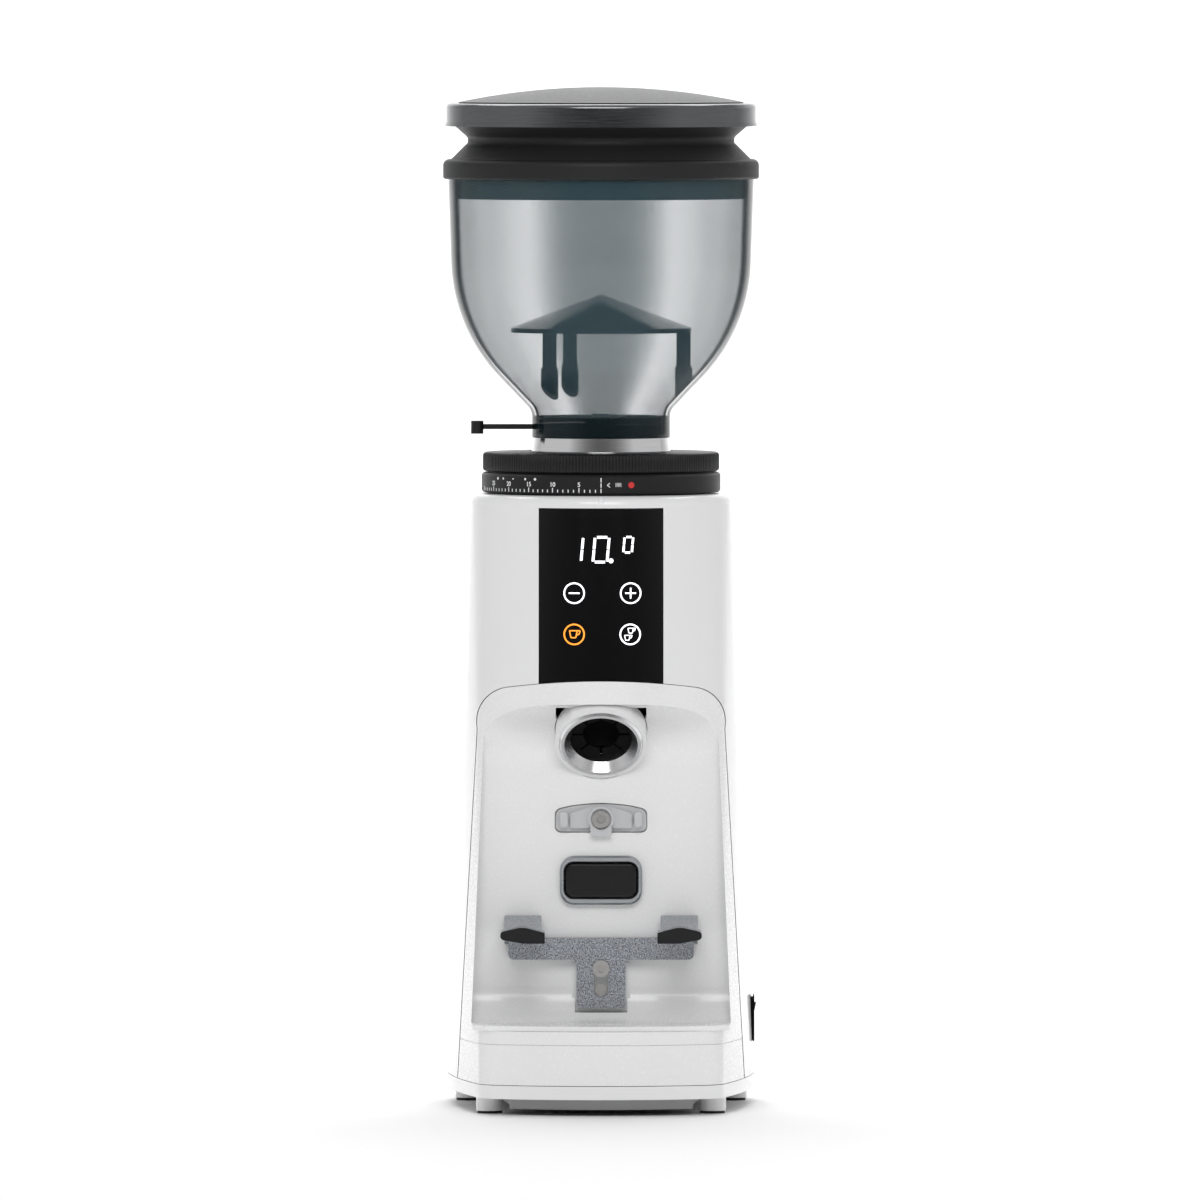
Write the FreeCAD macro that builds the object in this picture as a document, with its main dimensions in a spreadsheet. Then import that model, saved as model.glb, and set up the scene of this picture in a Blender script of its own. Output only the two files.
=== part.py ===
import FreeCAD, Part
import math
import os
import Sketcher

V = FreeCAD.Vector
doc = FreeCAD.newDocument("burr_grinder")

# Driving dimensions. Lengths in mm, angles in degrees, heights measured from the table.
# x runs to the right, y to the back and z up. The burr axis stands at x = 0, y = 0 of every piece,
# and each piece is placed axis_y behind the middle of the footprint.
SIZES = {
    "axis_y": 11.07,
    # body plan at the foot: a chain of tangent arcs from the front round to the back
    "plan_front": 110.0, "plan_nose_r": 129.0, "plan_corner_r": 17.0, "plan_side_r": 538.0,
    "plan_rear_corner_r": 36.0, "plan_nose_turn": 22.3, "plan_corner_turn": 76.0, "plan_rear_turn": 150.0,
    "body_top_r": 63.2, "body_low_z": 15.0, "body_top_z": 290.5, "shell_wall": 2.5, "seam_gap": 0.3,
    # foot of the machine
    "ring_low_z": 8.3, "ring_top_z": 14.7, "pan_floor": 2.0, "pad_height": 1.3, "foot_r": 6.55, "pad_r": 6.0,
    "front_foot_x": 53.5, "front_foot_y": 72.0, "rear_foot_x": 64.3, "rear_foot_y": 38.0,
    "cover_low_z": 2.8,
    # arch seam of the front panel, half outline
    "arch_top_z": 207.7, "arch_bow_r": 311.0, "arch_shoulder_x": 45.0, "arch_shoulder_z": 204.4,
    "arch_side_x": 59.5, "arch_side_z": 184.0, "arch_foot_x": 69.9,
    # portafilter bay
    "bay_back_y": 52.0, "bay_floor_z": 43.0, "tray_bed_z": 40.6, "bay_top_z": 196.8, "bay_low_x": 62.6,
    "bay_high_x": 55.7, "bay_corner_r": 13.0, "bay_ceiling_r": 29.0, "bay_heel_r": 17.0, "bay_wall": 2.4,
    "tray_back_y": 71.0, "crease_z": 34.0, "crease_depth": 0.5,
    # chute, tilted forward
    "chute_y": 66.0, "chute_z": 176.5, "chute_tilt": 40.0, "chute_r": 20.1, "chute_lip_r": 17.7,
    "chute_throat_r": 14.8, "chute_cone": 4.6, "chute_long": 8.0, "duct_half_width": 15.0, "duct_wall": 1.8,
    "duct_top_z": 264.0,
    # hook bracket, push button and fork on the back wall of the bay
    "hook_half_width": 22.3, "hook_low_z": 134.0, "hook_high_z": 148.8, "hook_screw_z": 140.6,
    "bezel_width": 39.6, "bezel_height": 23.6, "bezel_corner": 7.0, "button_z": 111.15,
    "button_width": 33.9, "button_height": 15.9, "button_corner": 3.7,
    "fork_bar_x": 44.6, "fork_bar_low_z": 73.1, "fork_bar_high_z": 83.5, "fork_stem_x": 11.8,
    "fork_stem_z": 49.7, "fork_gap": 53.6, "fork_outer": 95.0, "fork_tip_y": 99.0, "fork_slot_w": 6.8,
    "fork_slot_low_z": 54.8, "fork_slot_high_z": 72.3, "fork_screw_z": 68.8, "fork_plate": 5.6,
    # display
    "display_x": 29.7, "display_low_z": 206.5, "display_high_z": 290.0,
    # top bezel and adjusting collar
    "bezel_top_z": 296.3, "collar_bore_r": 50.0, "scale_r": 57.8, "scale_low_z": 296.8, "scale_high_z": 306.4,
    "grip_r": 57.2, "grip_low_z": 307.0, "grip_high_z": 316.2, "sleeve_r": 47.6, "thread_r": 43.6,
    "thread_play": 0.05, "sleeve_low_z": 272.0,
    # burr chamber
    "chamber_floor_z": 236.0, "chamber_r": 37.0, "chamber_out_r": 45.0, "chamber_top_z": 270.0,
    "burr_r": 32.0, "burr_bore_r": 19.0, "burr_thick": 8.0, "lower_burr_z": 248.0, "upper_burr_z": 256.4,
    "seat_low_z": 316.0, "seat_high_z": 323.2, "spigot_r": 30.0, "spigot_low_z": 300.0,
    # motor
    "shaft_r": 5.0, "bearing_r": 13.0, "bearing_wide": 8.0, "motor_r": 37.0, "motor_low_z": 92.0,
    "motor_high_z": 205.0, "rotor_r": 19.5, "stator_in_r": 20.0, "stator_out_r": 35.0,
    # hopper
    "neck_r": 33.5, "bowl_low_z": 336.0, "bowl_turn_r": 71.6, "bowl_turn_z": 375.6, "rim_r": 74.0,
    "rim_z": 448.2, "hopper_wall": 2.2, "bowl_round": 84.0, "gate_z": 327.2, "gate_thick": 2.4,
    "lever_reach": 62.9,
    # bean baffle
    "baffle_apex_z": 392.5, "baffle_rim_z": 374.0, "baffle_r": 43.7, "baffle_thick": 2.2, "leg_r": 3.45,
    "leg_circle_r": 40.3, "sleeve_out_r": 4.25, "sleeve_top_z": 357.4, "leg_turn": 8.0,
    # lid
    "collar_r": 76.4, "collar_high_z": 457.8, "skirt_r": 71.1, "skirt_low_z": 438.7, "waist_r": 64.6,
    "bellows_low_r": 72.5, "bellows_high_r": 70.7, "bellows_high_z": 473.7, "lid_lip_r": 75.4,
    "lid_r": 74.9, "lid_high_z": 484.8, "dome_r": 68.9, "dome_apex_z": 492.6, "dome_edge_z": 485.4,
    # power parts
    "rocker_y": 10.0, "rocker_z": 41.6, "rocker_tall": 20.4, "rocker_wide": 12.6, "rocker_face_x": 73.2,
    "inlet_z": 38.0, "inlet_face_y": 83.6, "inlet_wide": 27.0, "inlet_tall": 20.0,
}

sheet = doc.addObject("Spreadsheet::Sheet", "Sizes")
for row, (alias, size) in enumerate(SIZES.items(), start=1):
    sheet.set(f"A{row}", alias)
    sheet.set(f"B{row}", str(size))
    sheet.setAlias(f"B{row}", alias)
doc.recompute()


class Dim:
    """A length or angle that carries its number and the sheet expression that drives it."""

    def __init__(self, value, text):
        self.value = value
        self.text = text

    def __add__(self, other):
        return Dim(self.value + number(other), f"({self.text} + {wording(other)})")

    def __sub__(self, other):
        return Dim(self.value - number(other), f"({self.text} - {wording(other)})")

    def __mul__(self, other):
        return Dim(self.value * number(other), f"({self.text} * {wording(other)})")

    def __truediv__(self, other):
        return Dim(self.value / number(other), f"({self.text} / {wording(other)})")

    def __radd__(self, other):
        return self + other

    def __rsub__(self, other):
        return Dim(number(other) - self.value, f"({wording(other)} - {self.text})")

    def __rmul__(self, other):
        return self * other

    def __neg__(self):
        return Dim(-self.value, f"(0 - {self.text})")


class Sheet:
    """Reads a driving dimension by its word alias."""

    def __getattr__(self, alias):
        return Dim(float(sheet.get(alias)), f"Sizes.{alias}")


S = Sheet()


def number(size):
    return size.value if isinstance(size, Dim) else float(size)


def wording(size):
    return size.text if isinstance(size, Dim) else f"({float(size)!r})"


def sin_of(angle):
    return Dim(math.sin(math.radians(number(angle))), f"sin({wording(angle)} * 1deg)")


def cos_of(angle):
    return Dim(math.cos(math.radians(number(angle))), f"cos({wording(angle)} * 1deg)")


def polar(radius, angle):
    """The point at a radius and an angle from +x."""
    return radius * cos_of(angle), radius * sin_of(angle)


def bind(target, path, size):
    target.setExpression(path, wording(size))


# ---------------------------------------------------------------- outlines drawn into sketches

def pin_point(sketch, geo, pos, u, v):
    """Hold one sketch point at the place (u, v)."""
    for kind, size, axis in (("DistanceX", u, -2), ("DistanceY", v, -1)):
        if isinstance(size, Dim) or abs(size) > 1e-9:
            spot = sketch.addConstraint(Sketcher.Constraint(kind, -1, 1, geo, pos, number(size)))
            if isinstance(size, Dim):
                bind(sketch, f"Constraints[{spot}]", size)
        else:
            sketch.addConstraint(Sketcher.Constraint("PointOnObject", geo, pos, axis))


def set_radius(sketch, geo, radius):
    spot = sketch.addConstraint(Sketcher.Constraint("Radius", geo, number(radius)))
    if isinstance(radius, Dim):
        bind(sketch, f"Constraints[{spot}]", radius)


def circle(u, v, radius):
    """A full circle."""
    def draw(sketch):
        ring = Part.Circle(V(number(u), number(v), 0), V(0, 0, 1), number(radius))
        geo = sketch.addGeometry(ring, False)
        set_radius(sketch, geo, radius)
        pin_point(sketch, geo, 3, u, v)
    return draw


def positive(size):
    return -size if number(size) < 0 else size


def arc_through(start, middle, end):
    """An arc through three points, always stored anticlockwise as sketches want it."""
    clockwise = (middle - start).cross(end - start).z < 0
    return Part.Arc(end, middle, start) if clockwise else Part.Arc(start, middle, end)


def bowed_edge(start, end, radius):
    """The arc from start to end that bows to the right of the way along for a positive radius."""
    chord = end - start
    side = V(chord.y, -chord.x, 0).normalize() * (1 if radius > 0 else -1)
    rise = abs(radius) - math.sqrt(radius * radius - chord.Length ** 2 / 4)
    return arc_through(start, start + chord * 0.5 + side * rise, end)


def corner_cut(before, corner, after, radius):
    """Both ends and the middle of the arc that rounds a corner."""
    back = (before - corner).normalize()
    ahead = (after - corner).normalize()
    half = back.getAngle(ahead) / 2
    reach = radius / math.tan(half)
    centre = corner + (back + ahead).normalize() * (radius / math.sin(half))
    middle = centre + (corner - centre).normalize() * radius
    return corner + back * reach, middle, corner + ahead * reach


def outline(*corners):
    """A closed outline. A corner is (u, v), (u, v, rounding) or (u, v, None, radius of the arc that
    leads to it from the corner before)."""
    count = len(corners)
    rounds = [c[2] if len(c) > 2 else None for c in corners]
    bows = [c[3] if len(c) > 3 else None for c in corners]

    def draw(sketch):
        spots = [V(number(c[0]), number(c[1]), 0) for c in corners]
        starts, ends, arcs = list(spots), list(spots), [None] * count
        for i in range(count):
            if rounds[i] is not None:
                cut = corner_cut(spots[i - 1], spots[i], spots[(i + 1) % count], number(rounds[i]))
                ends[i], arcs[i], starts[i] = cut
        edges = []
        for i in range(count):
            j = (i + 1) % count
            if bows[j] is None:
                edge = Part.LineSegment(starts[i], ends[j])
            else:
                edge = bowed_edge(starts[i], ends[j], number(bows[j]))
            edges.append(add_edge(sketch, edge, starts[i]))
            if bows[j] is not None:
                set_radius(sketch, edges[-1][0], positive(bows[j]))
        for i in range(count):
            arrive, leave = edges[i - 1], edges[i]
            u, v = corners[i][0], corners[i][1]
            if rounds[i] is None:
                join = Sketcher.Constraint("Coincident", arrive[0], arrive[2], leave[0], leave[1])
                sketch.addConstraint(join)
                pin_point(sketch, leave[0], leave[1], u, v)
                continue
            bend = add_edge(sketch, arc_through(ends[i], arcs[i], starts[i]), ends[i])
            dot = sketch.addGeometry(Part.Point(spots[i]), True)
            pin_point(sketch, dot, 1, u, v)
            sketch.addConstraint([
                Sketcher.Constraint("PointOnObject", dot, 1, arrive[0]),
                Sketcher.Constraint("PointOnObject", dot, 1, leave[0]),
                Sketcher.Constraint("Tangent", arrive[0], arrive[2], bend[0], bend[1]),
                Sketcher.Constraint("Tangent", bend[0], bend[2], leave[0], leave[1]),
            ])
            set_radius(sketch, bend[0], rounds[i])
    return draw


def add_edge(sketch, edge, start):
    """Add one edge and say which of its ends is the start on the way round."""
    geo = sketch.addGeometry(edge, False)
    first = sketch.Geometry[geo].StartPoint
    return (geo, 1, 2) if first.distanceToPoint(start) < 1e-4 else (geo, 2, 1)


def box(u0, u1, v0, v1, rounding=None):
    return outline((u0, v0, rounding), (u1, v0, rounding), (u1, v1, rounding), (u0, v1, rounding))


def oval(u, v, radius, reach):
    """An upright slot with half-round ends, whose end centres lie reach above and below (u, v)."""
    def draw(sketch):
        low = V(number(u), number(v) - number(reach), 0)
        high = V(number(u), number(v) + number(reach), 0)
        size = number(radius)
        side = V(size, 0, 0)
        drop = V(0, size, 0)
        bottom = add_edge(sketch, arc_through(low - side, low - drop, low + side), low - side)
        right = add_edge(sketch, Part.LineSegment(low + side, high + side), low + side)
        top = add_edge(sketch, arc_through(high + side, high + drop, high - side), high + side)
        left = add_edge(sketch, Part.LineSegment(high - side, low - side), high - side)
        chain = [bottom, right, top, left]
        for arrive, leave in zip(chain, chain[1:] + chain[:1]):
            sketch.addConstraint(Sketcher.Constraint("Tangent", arrive[0], arrive[2], leave[0], leave[1]))
        pin_point(sketch, bottom[0], 3, u, v - reach)
        pin_point(sketch, top[0], 3, u, v + reach)
        set_radius(sketch, bottom[0], radius)
    return draw


def sector(low_r, high_r, first, last):
    """A piece of a ring between two radii and two angles."""
    return outline((*polar(low_r, first), None, -low_r), polar(high_r, first),
                   (*polar(high_r, last), None, high_r), polar(low_r, last))


def body_plan(z, inset=0.0):
    """The body outline at a height, drawn in by an inset: tangent arcs, mirrored about x = 0."""
    share = (z - S.body_low_z) / (S.body_top_z - S.body_low_z)

    def blend(low):
        return low * (1 - share) + S.body_top_r * share - inset

    turns = [Dim(0.0, "0"), S.plan_nose_turn, S.plan_corner_turn, Dim(90.0, "90"), S.plan_rear_turn]
    radii = [S.plan_nose_r, S.plan_corner_r, S.plan_side_r, S.plan_rear_corner_r]
    reach = sum(((sin_of(b) - sin_of(a)) * r for a, b, r in zip(turns, turns[1:], radii)), Dim(0.0, "0"))
    radii.append(reach / sin_of(S.plan_rear_turn))
    turns.append(Dim(180.0, "180"))
    points = [(Dim(0.0, "0"), -blend(S.plan_front))]
    for a, b, low in zip(turns, turns[1:], radii):
        radius = blend(low)
        x, y = points[-1]
        points.append((x + radius * (sin_of(b) - sin_of(a)), y + radius * (cos_of(a) - cos_of(b))))

    def draw(sketch):
        for side in (1, -1):
            for start, end, low in zip(points, points[1:], radii):
                radius = blend(low)
                from_spot = V(side * number(start[0]), number(start[1]), 0)
                to_spot = V(side * number(end[0]), number(end[1]), 0)
                edge = bowed_edge(from_spot, to_spot, side * number(radius))
                geo, first, last = add_edge(sketch, edge, from_spot)
                if start is points[0]:
                    pin_point(sketch, geo, first, 0, start[1])
                else:
                    pin_point(sketch, geo, first, start[0] * side, start[1])
                if end is points[-1]:
                    sketch.addConstraint(Sketcher.Constraint("PointOnObject", geo, last, -2))
                    pin_height(sketch, geo, last, end[1])
                else:
                    pin_point(sketch, geo, last, end[0] * side, end[1])
                set_radius(sketch, geo, radius)
    return draw


def pin_height(sketch, geo, pos, v):
    spot = sketch.addConstraint(Sketcher.Constraint("DistanceY", -1, 1, geo, pos, number(v)))
    bind(sketch, f"Constraints[{spot}]", v)


# ---------------------------------------------------------------- one body per separate part

pieces = []


class Piece:
    """One separate part: a body placed on the burr axis, with short ways to add its features."""

    def __init__(self, name, base=None, kept=True):
        self.body = doc.addObject("PartDesign::Body", name)
        self.body.Label = name
        self.body.AllowCompound = True
        if base is not None:
            self.body.BaseFeature = base
        if kept:
            bind(self.body, "Placement.Base.y", S.axis_y)
            pieces.append(self.body)

    def sketch(self, plane, at, outlines):
        """A sketch on the XY, XZ or YZ plane, moved along z, y or x to the place given."""
        sketch = self.body.newObject("Sketcher::SketchObject", "Outline")
        origin = [f for f in self.body.Origin.OriginFeatures if f.Role == plane + "_Plane"]
        sketch.AttachmentSupport = (origin[0], [""])
        sketch.MapMode = "FlatFace"
        bind(sketch, "AttachmentOffset.Base.z", -at if plane == "XZ" else at)
        for draw in outlines:
            draw(sketch)
        return sketch

    def lean(self, y, z, angle):
        """Place the whole piece at a point beside the axis, leaned about x."""
        self.body.Placement = FreeCAD.Placement(V(0, 0, 0), FreeCAD.Rotation(V(1, 0, 0), number(angle)))
        bind(self.body, "Placement.Base.y", S.axis_y + y)
        bind(self.body, "Placement.Base.z", z)
        bind(self.body, "Placement.Rotation.Angle", angle)

    def cut_along_chute(self, low, high, *outlines):
        """A hollow along the chute axis, between two depths measured out from the outlet face."""
        sketch = self.body.newObject("Sketcher::SketchObject", "Outline")
        origin = [f for f in self.body.Origin.OriginFeatures if f.Role == "XY_Plane"]
        sketch.AttachmentSupport = (origin[0], [""])
        sketch.MapMode = "FlatFace"
        turn = FreeCAD.Rotation(V(1, 0, 0), number(S.chute_tilt) + 90)
        sketch.AttachmentOffset = FreeCAD.Placement(V(0, 0, 0), turn)
        bind(sketch, "AttachmentOffset.Rotation.Angle", S.chute_tilt + 90)
        bind(sketch, "AttachmentOffset.Base.y", -S.chute_y - high * cos_of(S.chute_tilt))
        bind(sketch, "AttachmentOffset.Base.z", S.chute_z - high * sin_of(S.chute_tilt))
        for draw in outlines:
            draw(sketch)
        made = self.feature("Pocket", sketch)
        bind(made, "Length", high - low)
        return made

    def feature(self, kind, sketch):
        made = self.body.newObject("PartDesign::" + kind, kind)
        made.Profile = sketch
        sketch.Visibility = False
        return made

    def add(self, plane, start, stop, *outlines):
        """Material between two places along the plane's own axis."""
        made = self.feature("Pad", self.sketch(plane, start, outlines))
        bind(made, "Length", positive(stop - start))
        made.Reversed = (number(stop) > number(start)) == (plane == "XZ")
        return made

    def cut(self, plane, start, stop, *outlines):
        """A hollow between two places along the plane's own axis."""
        made = self.feature("Pocket", self.sketch(plane, start, outlines))
        bind(made, "Length", positive(stop - start))
        made.Reversed = (number(stop) > number(start)) != (plane == "XZ")
        return made

    def turn(self, *outlines):
        """Material turned about the burr axis from (radius, height) outlines."""
        sketch = self.sketch("XZ", 0.0, outlines)
        made = self.feature("Revolution", sketch)
        made.ReferenceAxis = (sketch, ["V_Axis"])
        made.Angle = 360
        return made

    def groove(self, *outlines):
        """A hollow turned about the burr axis."""
        sketch = self.sketch("XZ", 0.0, outlines)
        made = self.feature("Groove", sketch)
        made.ReferenceAxis = (sketch, ["V_Axis"])
        made.Angle = 360
        return made

    def repeat(self, feature, count):
        """The same feature set round the burr axis."""
        made = self.body.newObject("PartDesign::PolarPattern", "Repeat")
        made.Originals = [feature]
        axis = [f for f in self.body.Origin.OriginFeatures if f.Role == "Z_Axis"]
        made.Axis = (axis[0], [""])
        made.Angle = 360
        made.Occurrences = count
        self.body.Tip = made
        return made

    def soften(self, kind, size, wanted):
        """A Fillet or Chamfer on the edges that the test picks."""
        doc.recompute()
        tip = self.body.Tip
        names = [f"Edge{i}" for i, e in enumerate(tip.Shape.Edges, start=1) if wanted(e)]
        made = self.body.newObject("PartDesign::" + kind, kind)
        made.Base = (tip, names)
        bind(made, "Radius" if kind == "Fillet" else "Size", size)
        return made


def edge_at_y(y):
    return lambda e: abs(e.BoundBox.YMin - number(y)) < 0.01 and abs(e.BoundBox.YMax - number(y)) < 0.01


def ring_of_spots(radius, count, first=0.0):
    return [polar(radius, first + 360.0 * i / count) for i in range(count)]


def turned(name, *outlines):
    piece = Piece(name)
    piece.turn(*outlines)
    return piece


# ---------------------------------------------------------------- lid

def make_lid():
    cap_low = S.lid_high_z - 2.5
    dome_r = (S.dome_r * S.dome_r) / (2 * (S.dome_apex_z - S.dome_edge_z))
    turned("lid_cap", outline(
        (0, cap_low + 7.0), (0, S.dome_apex_z), (S.dome_r, S.dome_edge_z, None, -(dome_r + 3.6)),
        (S.dome_r, cap_low), (S.dome_r - 3.5, cap_low), (S.dome_r - 3.5, cap_low + 1.6)))
    seat_r = S.dome_r + 0.1
    turned("lid_trim_ring", outline(
        (66.0, S.bellows_high_z), (S.lid_lip_r, S.bellows_high_z), (S.lid_lip_r, S.bellows_high_z + 1.7),
        (S.lid_r, S.bellows_high_z + 1.7), (S.lid_r, S.lid_high_z, 2.2), (seat_r, S.lid_high_z),
        (seat_r, cap_low), (66.0, cap_low)))
    wall = 2.1
    turned("bellows", outline(
        (S.bellows_low_r, S.collar_high_z), (S.waist_r, 465.7, 1.4), (S.waist_r, 468.1, 1.4),
        (S.bellows_high_r, S.bellows_high_z), (S.bellows_high_r - 2.7, S.bellows_high_z),
        (S.waist_r - wall, 468.5, 0.8), (S.waist_r - wall, 465.2, 0.8),
        (S.bellows_low_r - 2.7, S.collar_high_z)))
    turned("lid_collar", outline(
        (S.skirt_r - 2.0, S.rim_z), (S.collar_r, S.rim_z, 1.2), (S.collar_r, S.collar_high_z, 3.0),
        (S.skirt_r - 2.0, S.collar_high_z)))
    turned("lid_skirt", box(S.skirt_r - 1.8, S.skirt_r, S.skirt_low_z, S.rim_z))


# ---------------------------------------------------------------- hopper, gate and baffle

def bowl_line(radius, lift):
    """Height of the sloping bowl wall at a radius, lifted by a thickness across the wall."""
    slope = (S.bowl_turn_z - S.bowl_low_z) / (S.bowl_turn_r - S.neck_r)
    return S.bowl_low_z + (radius - S.neck_r) * slope + lift * 1.44


def make_hopper():
    hopper = Piece("hopper")
    wall = S.hopper_wall
    inner_neck = S.neck_r - wall
    hopper.turn(outline(
        (S.spigot_r - wall, S.spigot_low_z), (S.spigot_r, S.spigot_low_z), (S.spigot_r, S.seat_high_z),
        (S.neck_r, S.seat_high_z), (S.neck_r, S.bowl_low_z, 7.0), (S.bowl_turn_r, S.bowl_turn_z, S.bowl_round),
        (S.rim_r, S.rim_z), (S.rim_r - wall, S.rim_z),
        (S.bowl_turn_r - wall, S.bowl_turn_z + 1.0, S.bowl_round - wall),
        (inner_neck, S.bowl_low_z + 0.9, 7.0 + 2.2), (inner_neck, S.seat_high_z + 1.3),
        (S.spigot_r - wall, S.seat_high_z + 1.3)))
    slot = sector(inner_neck - 3.0, S.neck_r + 3.0, 92.0, 187.5)
    hopper.cut("XY", S.gate_z - 0.4, S.gate_z + S.gate_thick + 0.4, slot)

    seat_low = S.seat_high_z + 1.3
    seat = Piece("gate_seat")
    seat.add("XY", seat_low, S.gate_z - 0.3, circle(0, 0, inner_neck))
    seat.cut("XY", seat_low - 1.0, S.gate_z, sector(Dim(6.0, "6"), inner_neck - 3.2, 10.0, 80.0),
             sector(Dim(6.0, "6"), inner_neck - 3.2, 190.0, 260.0), circle(0, 0, 2.5))

    lever = Piece("gate_lever")
    high = S.gate_z + S.gate_thick
    lever.add("XY", S.gate_z, high, sector(Dim(6.0, "6"), inner_neck - 1.0, 97.0, 173.0))
    lever.add("XY", S.gate_z, high, sector(Dim(6.0, "6"), inner_neck - 1.0, 277.0, 353.0))
    lever.add("XY", S.gate_z, high, box(-S.lever_reach, -5.0, -3.3, 3.3, 1.5))
    lever.add("XY", S.gate_z, high + 2.4, circle(0, 0, 7.6))
    lever.add("XY", S.gate_z - 2.2, high + 1.6, box(-S.lever_reach, 6.0 - S.lever_reach, -6.0, 6.0, 2.8))
    lever.cut("XY", S.gate_z - 1.0, high + 3.0, circle(0, 0, 2.5))

    screw = Piece("gate_pivot_screw")
    screw.add("XY", high + 2.4, high + 5.0, circle(0, 0, 4.2))
    screw.add("XY", high + 2.4, seat_low - 1.0, circle(0, 0, 2.4))
    screw.cut("XY", high + 5.0, high + 3.4, box(-0.6, 0.6, -3.4, 3.4))


def make_baffle():
    spots = ring_of_spots(S.leg_circle_r, 3, -S.leg_turn)
    cone_low = S.baffle_rim_z
    slope = (S.baffle_apex_z - cone_low - S.baffle_thick) / S.baffle_r
    baffle = Piece("bean_baffle")
    baffle.add("XY", 341.0, cone_low + 5.0, *[circle(x, y, S.leg_r) for x, y in spots])
    baffle.groove(outline((30.0, bowl_line(30.0, S.hopper_wall + 1.0)), (30.0, 330.0), (50.0, 330.0),
                          (50.0, bowl_line(50.0, S.hopper_wall + 1.0))))
    baffle.groove(outline(
        (20.0, S.baffle_apex_z - slope * 20.0 - 1.0), (S.baffle_r + 1.0, cone_low - 0.2 + 1.2),
        (S.baffle_r + 1.0, 400.0), (20.0, 400.0)))
    baffle.turn(outline((0, S.baffle_apex_z - S.baffle_thick), (0, S.baffle_apex_z),
                        (S.baffle_r, cone_low + S.baffle_thick), (S.baffle_r, cone_low)))
    sleeves = Piece("baffle_sleeves")
    sleeves.add("XY", 338.0, S.sleeve_top_z, *[circle(x, y, S.sleeve_out_r) for x, y in spots])
    sleeves.groove(outline((30.0, bowl_line(30.0, S.hopper_wall + 0.05)), (30.0, 330.0), (50.0, 330.0),
                           (50.0, bowl_line(50.0, S.hopper_wall + 0.05))))
    sleeves.cut("XY", 330.0, S.sleeve_top_z, *[circle(x, y, S.leg_r) for x, y in spots])


# ---------------------------------------------------------------- adjusting collar and burrs

def make_collar():
    turned("hopper_seat_ring", outline(
        (S.spigot_r + 0.2, S.seat_low_z), (33.8, S.seat_low_z), (32.9, S.seat_high_z),
        (S.spigot_r + 0.2, S.seat_high_z)))
    sleeve_in = S.thread_r + S.thread_play
    grip = turned("grip_ring", outline(
        (sleeve_in, S.sleeve_low_z), (S.sleeve_r, S.sleeve_low_z), (S.sleeve_r, S.grip_low_z),
        (S.grip_r, S.grip_low_z),
        (S.grip_r, S.grip_high_z - 1.0), (S.grip_r - 1.0, S.grip_high_z), (36.0, S.grip_high_z + 0.6),
        (34.6, S.grip_high_z + 0.6), (34.6, S.grip_high_z - 3.4), (sleeve_in, S.grip_high_z - 3.4)))
    scale = turned("scale_ring", outline(
        (S.sleeve_r, S.scale_low_z), (S.scale_r - 1.0, S.scale_low_z), (S.scale_r, S.scale_low_z + 1.0),
        (S.scale_r, S.scale_high_z - 1.0), (S.scale_r - 1.0, S.scale_high_z),
        (S.scale_r - 4.0, S.scale_high_z),
        (S.scale_r - 4.0, S.grip_low_z), (S.sleeve_r, S.grip_low_z)))
    spots = ring_of_spots(S.sleeve_r + 3.4, 4, 45.0)
    head_z = S.scale_low_z + 2.4
    scale.cut("XY", S.scale_low_z, head_z, *[circle(x, y, 2.75) for x, y in spots])
    scale.cut("XY", head_z, S.grip_low_z, *[circle(x, y, 1.5) for x, y in spots])
    screws = Piece("collar_screws")
    screws.add("XY", head_z, S.scale_low_z + 0.3, *[circle(x, y, 2.7) for x, y in spots])
    screws.add("XY", head_z, S.grip_low_z + 5.0, *[circle(x, y, 1.5) for x, y in spots])
    grip.cut("XY", S.grip_low_z, S.grip_low_z + 5.0, *[circle(x, y, 1.5) for x, y in spots])


def burr_ring(name, low, teeth_up):
    """A flat burr: a ring with a sloping inner lead-in and radial teeth on its working face."""
    high = low + S.burr_thick
    if teeth_up:
        lead = [(S.burr_bore_r, low), (S.burr_r, low), (S.burr_r, high), (S.burr_bore_r + 5.0, high),
                (S.burr_bore_r, high - 2.5)]
        face, depth = high, high - 1.2
    else:
        lead = [(S.burr_bore_r, low + 2.5), (S.burr_bore_r + 5.0, low), (S.burr_r, low), (S.burr_r, high),
                (S.burr_bore_r, high)]
        face, depth = low, low + 1.2
    burr = turned(name, outline(*lead))
    tooth = burr.cut("XY", face, depth, outline((18.0, 1.5), (33.0, 5.5), (33.0, 6.8), (18.0, 3.9)))
    burr.repeat(tooth, 24)
    spots = ring_of_spots(S.burr_r - 4.0, 3, 30.0)
    sink = high - 3.0 if teeth_up else low + 3.0
    burr.cut("XY", face, sink, *[circle(x, y, 3.0) for x, y in spots])
    burr.cut("XY", low, high, *[circle(x, y, 2.0) for x, y in spots])
    return spots


def burr_screws(name, spots, head, seat, tail):
    screws = Piece(name)
    screws.add("XY", head, seat, *[circle(x, y, 2.9) for x, y in spots])
    screws.add("XY", seat, tail, *[circle(x, y, 2.0) for x, y in spots])
    screws.cut("XY", head, head + (seat - head) * 0.45, *[circle(x, y, 1.3) for x, y in spots])


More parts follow.
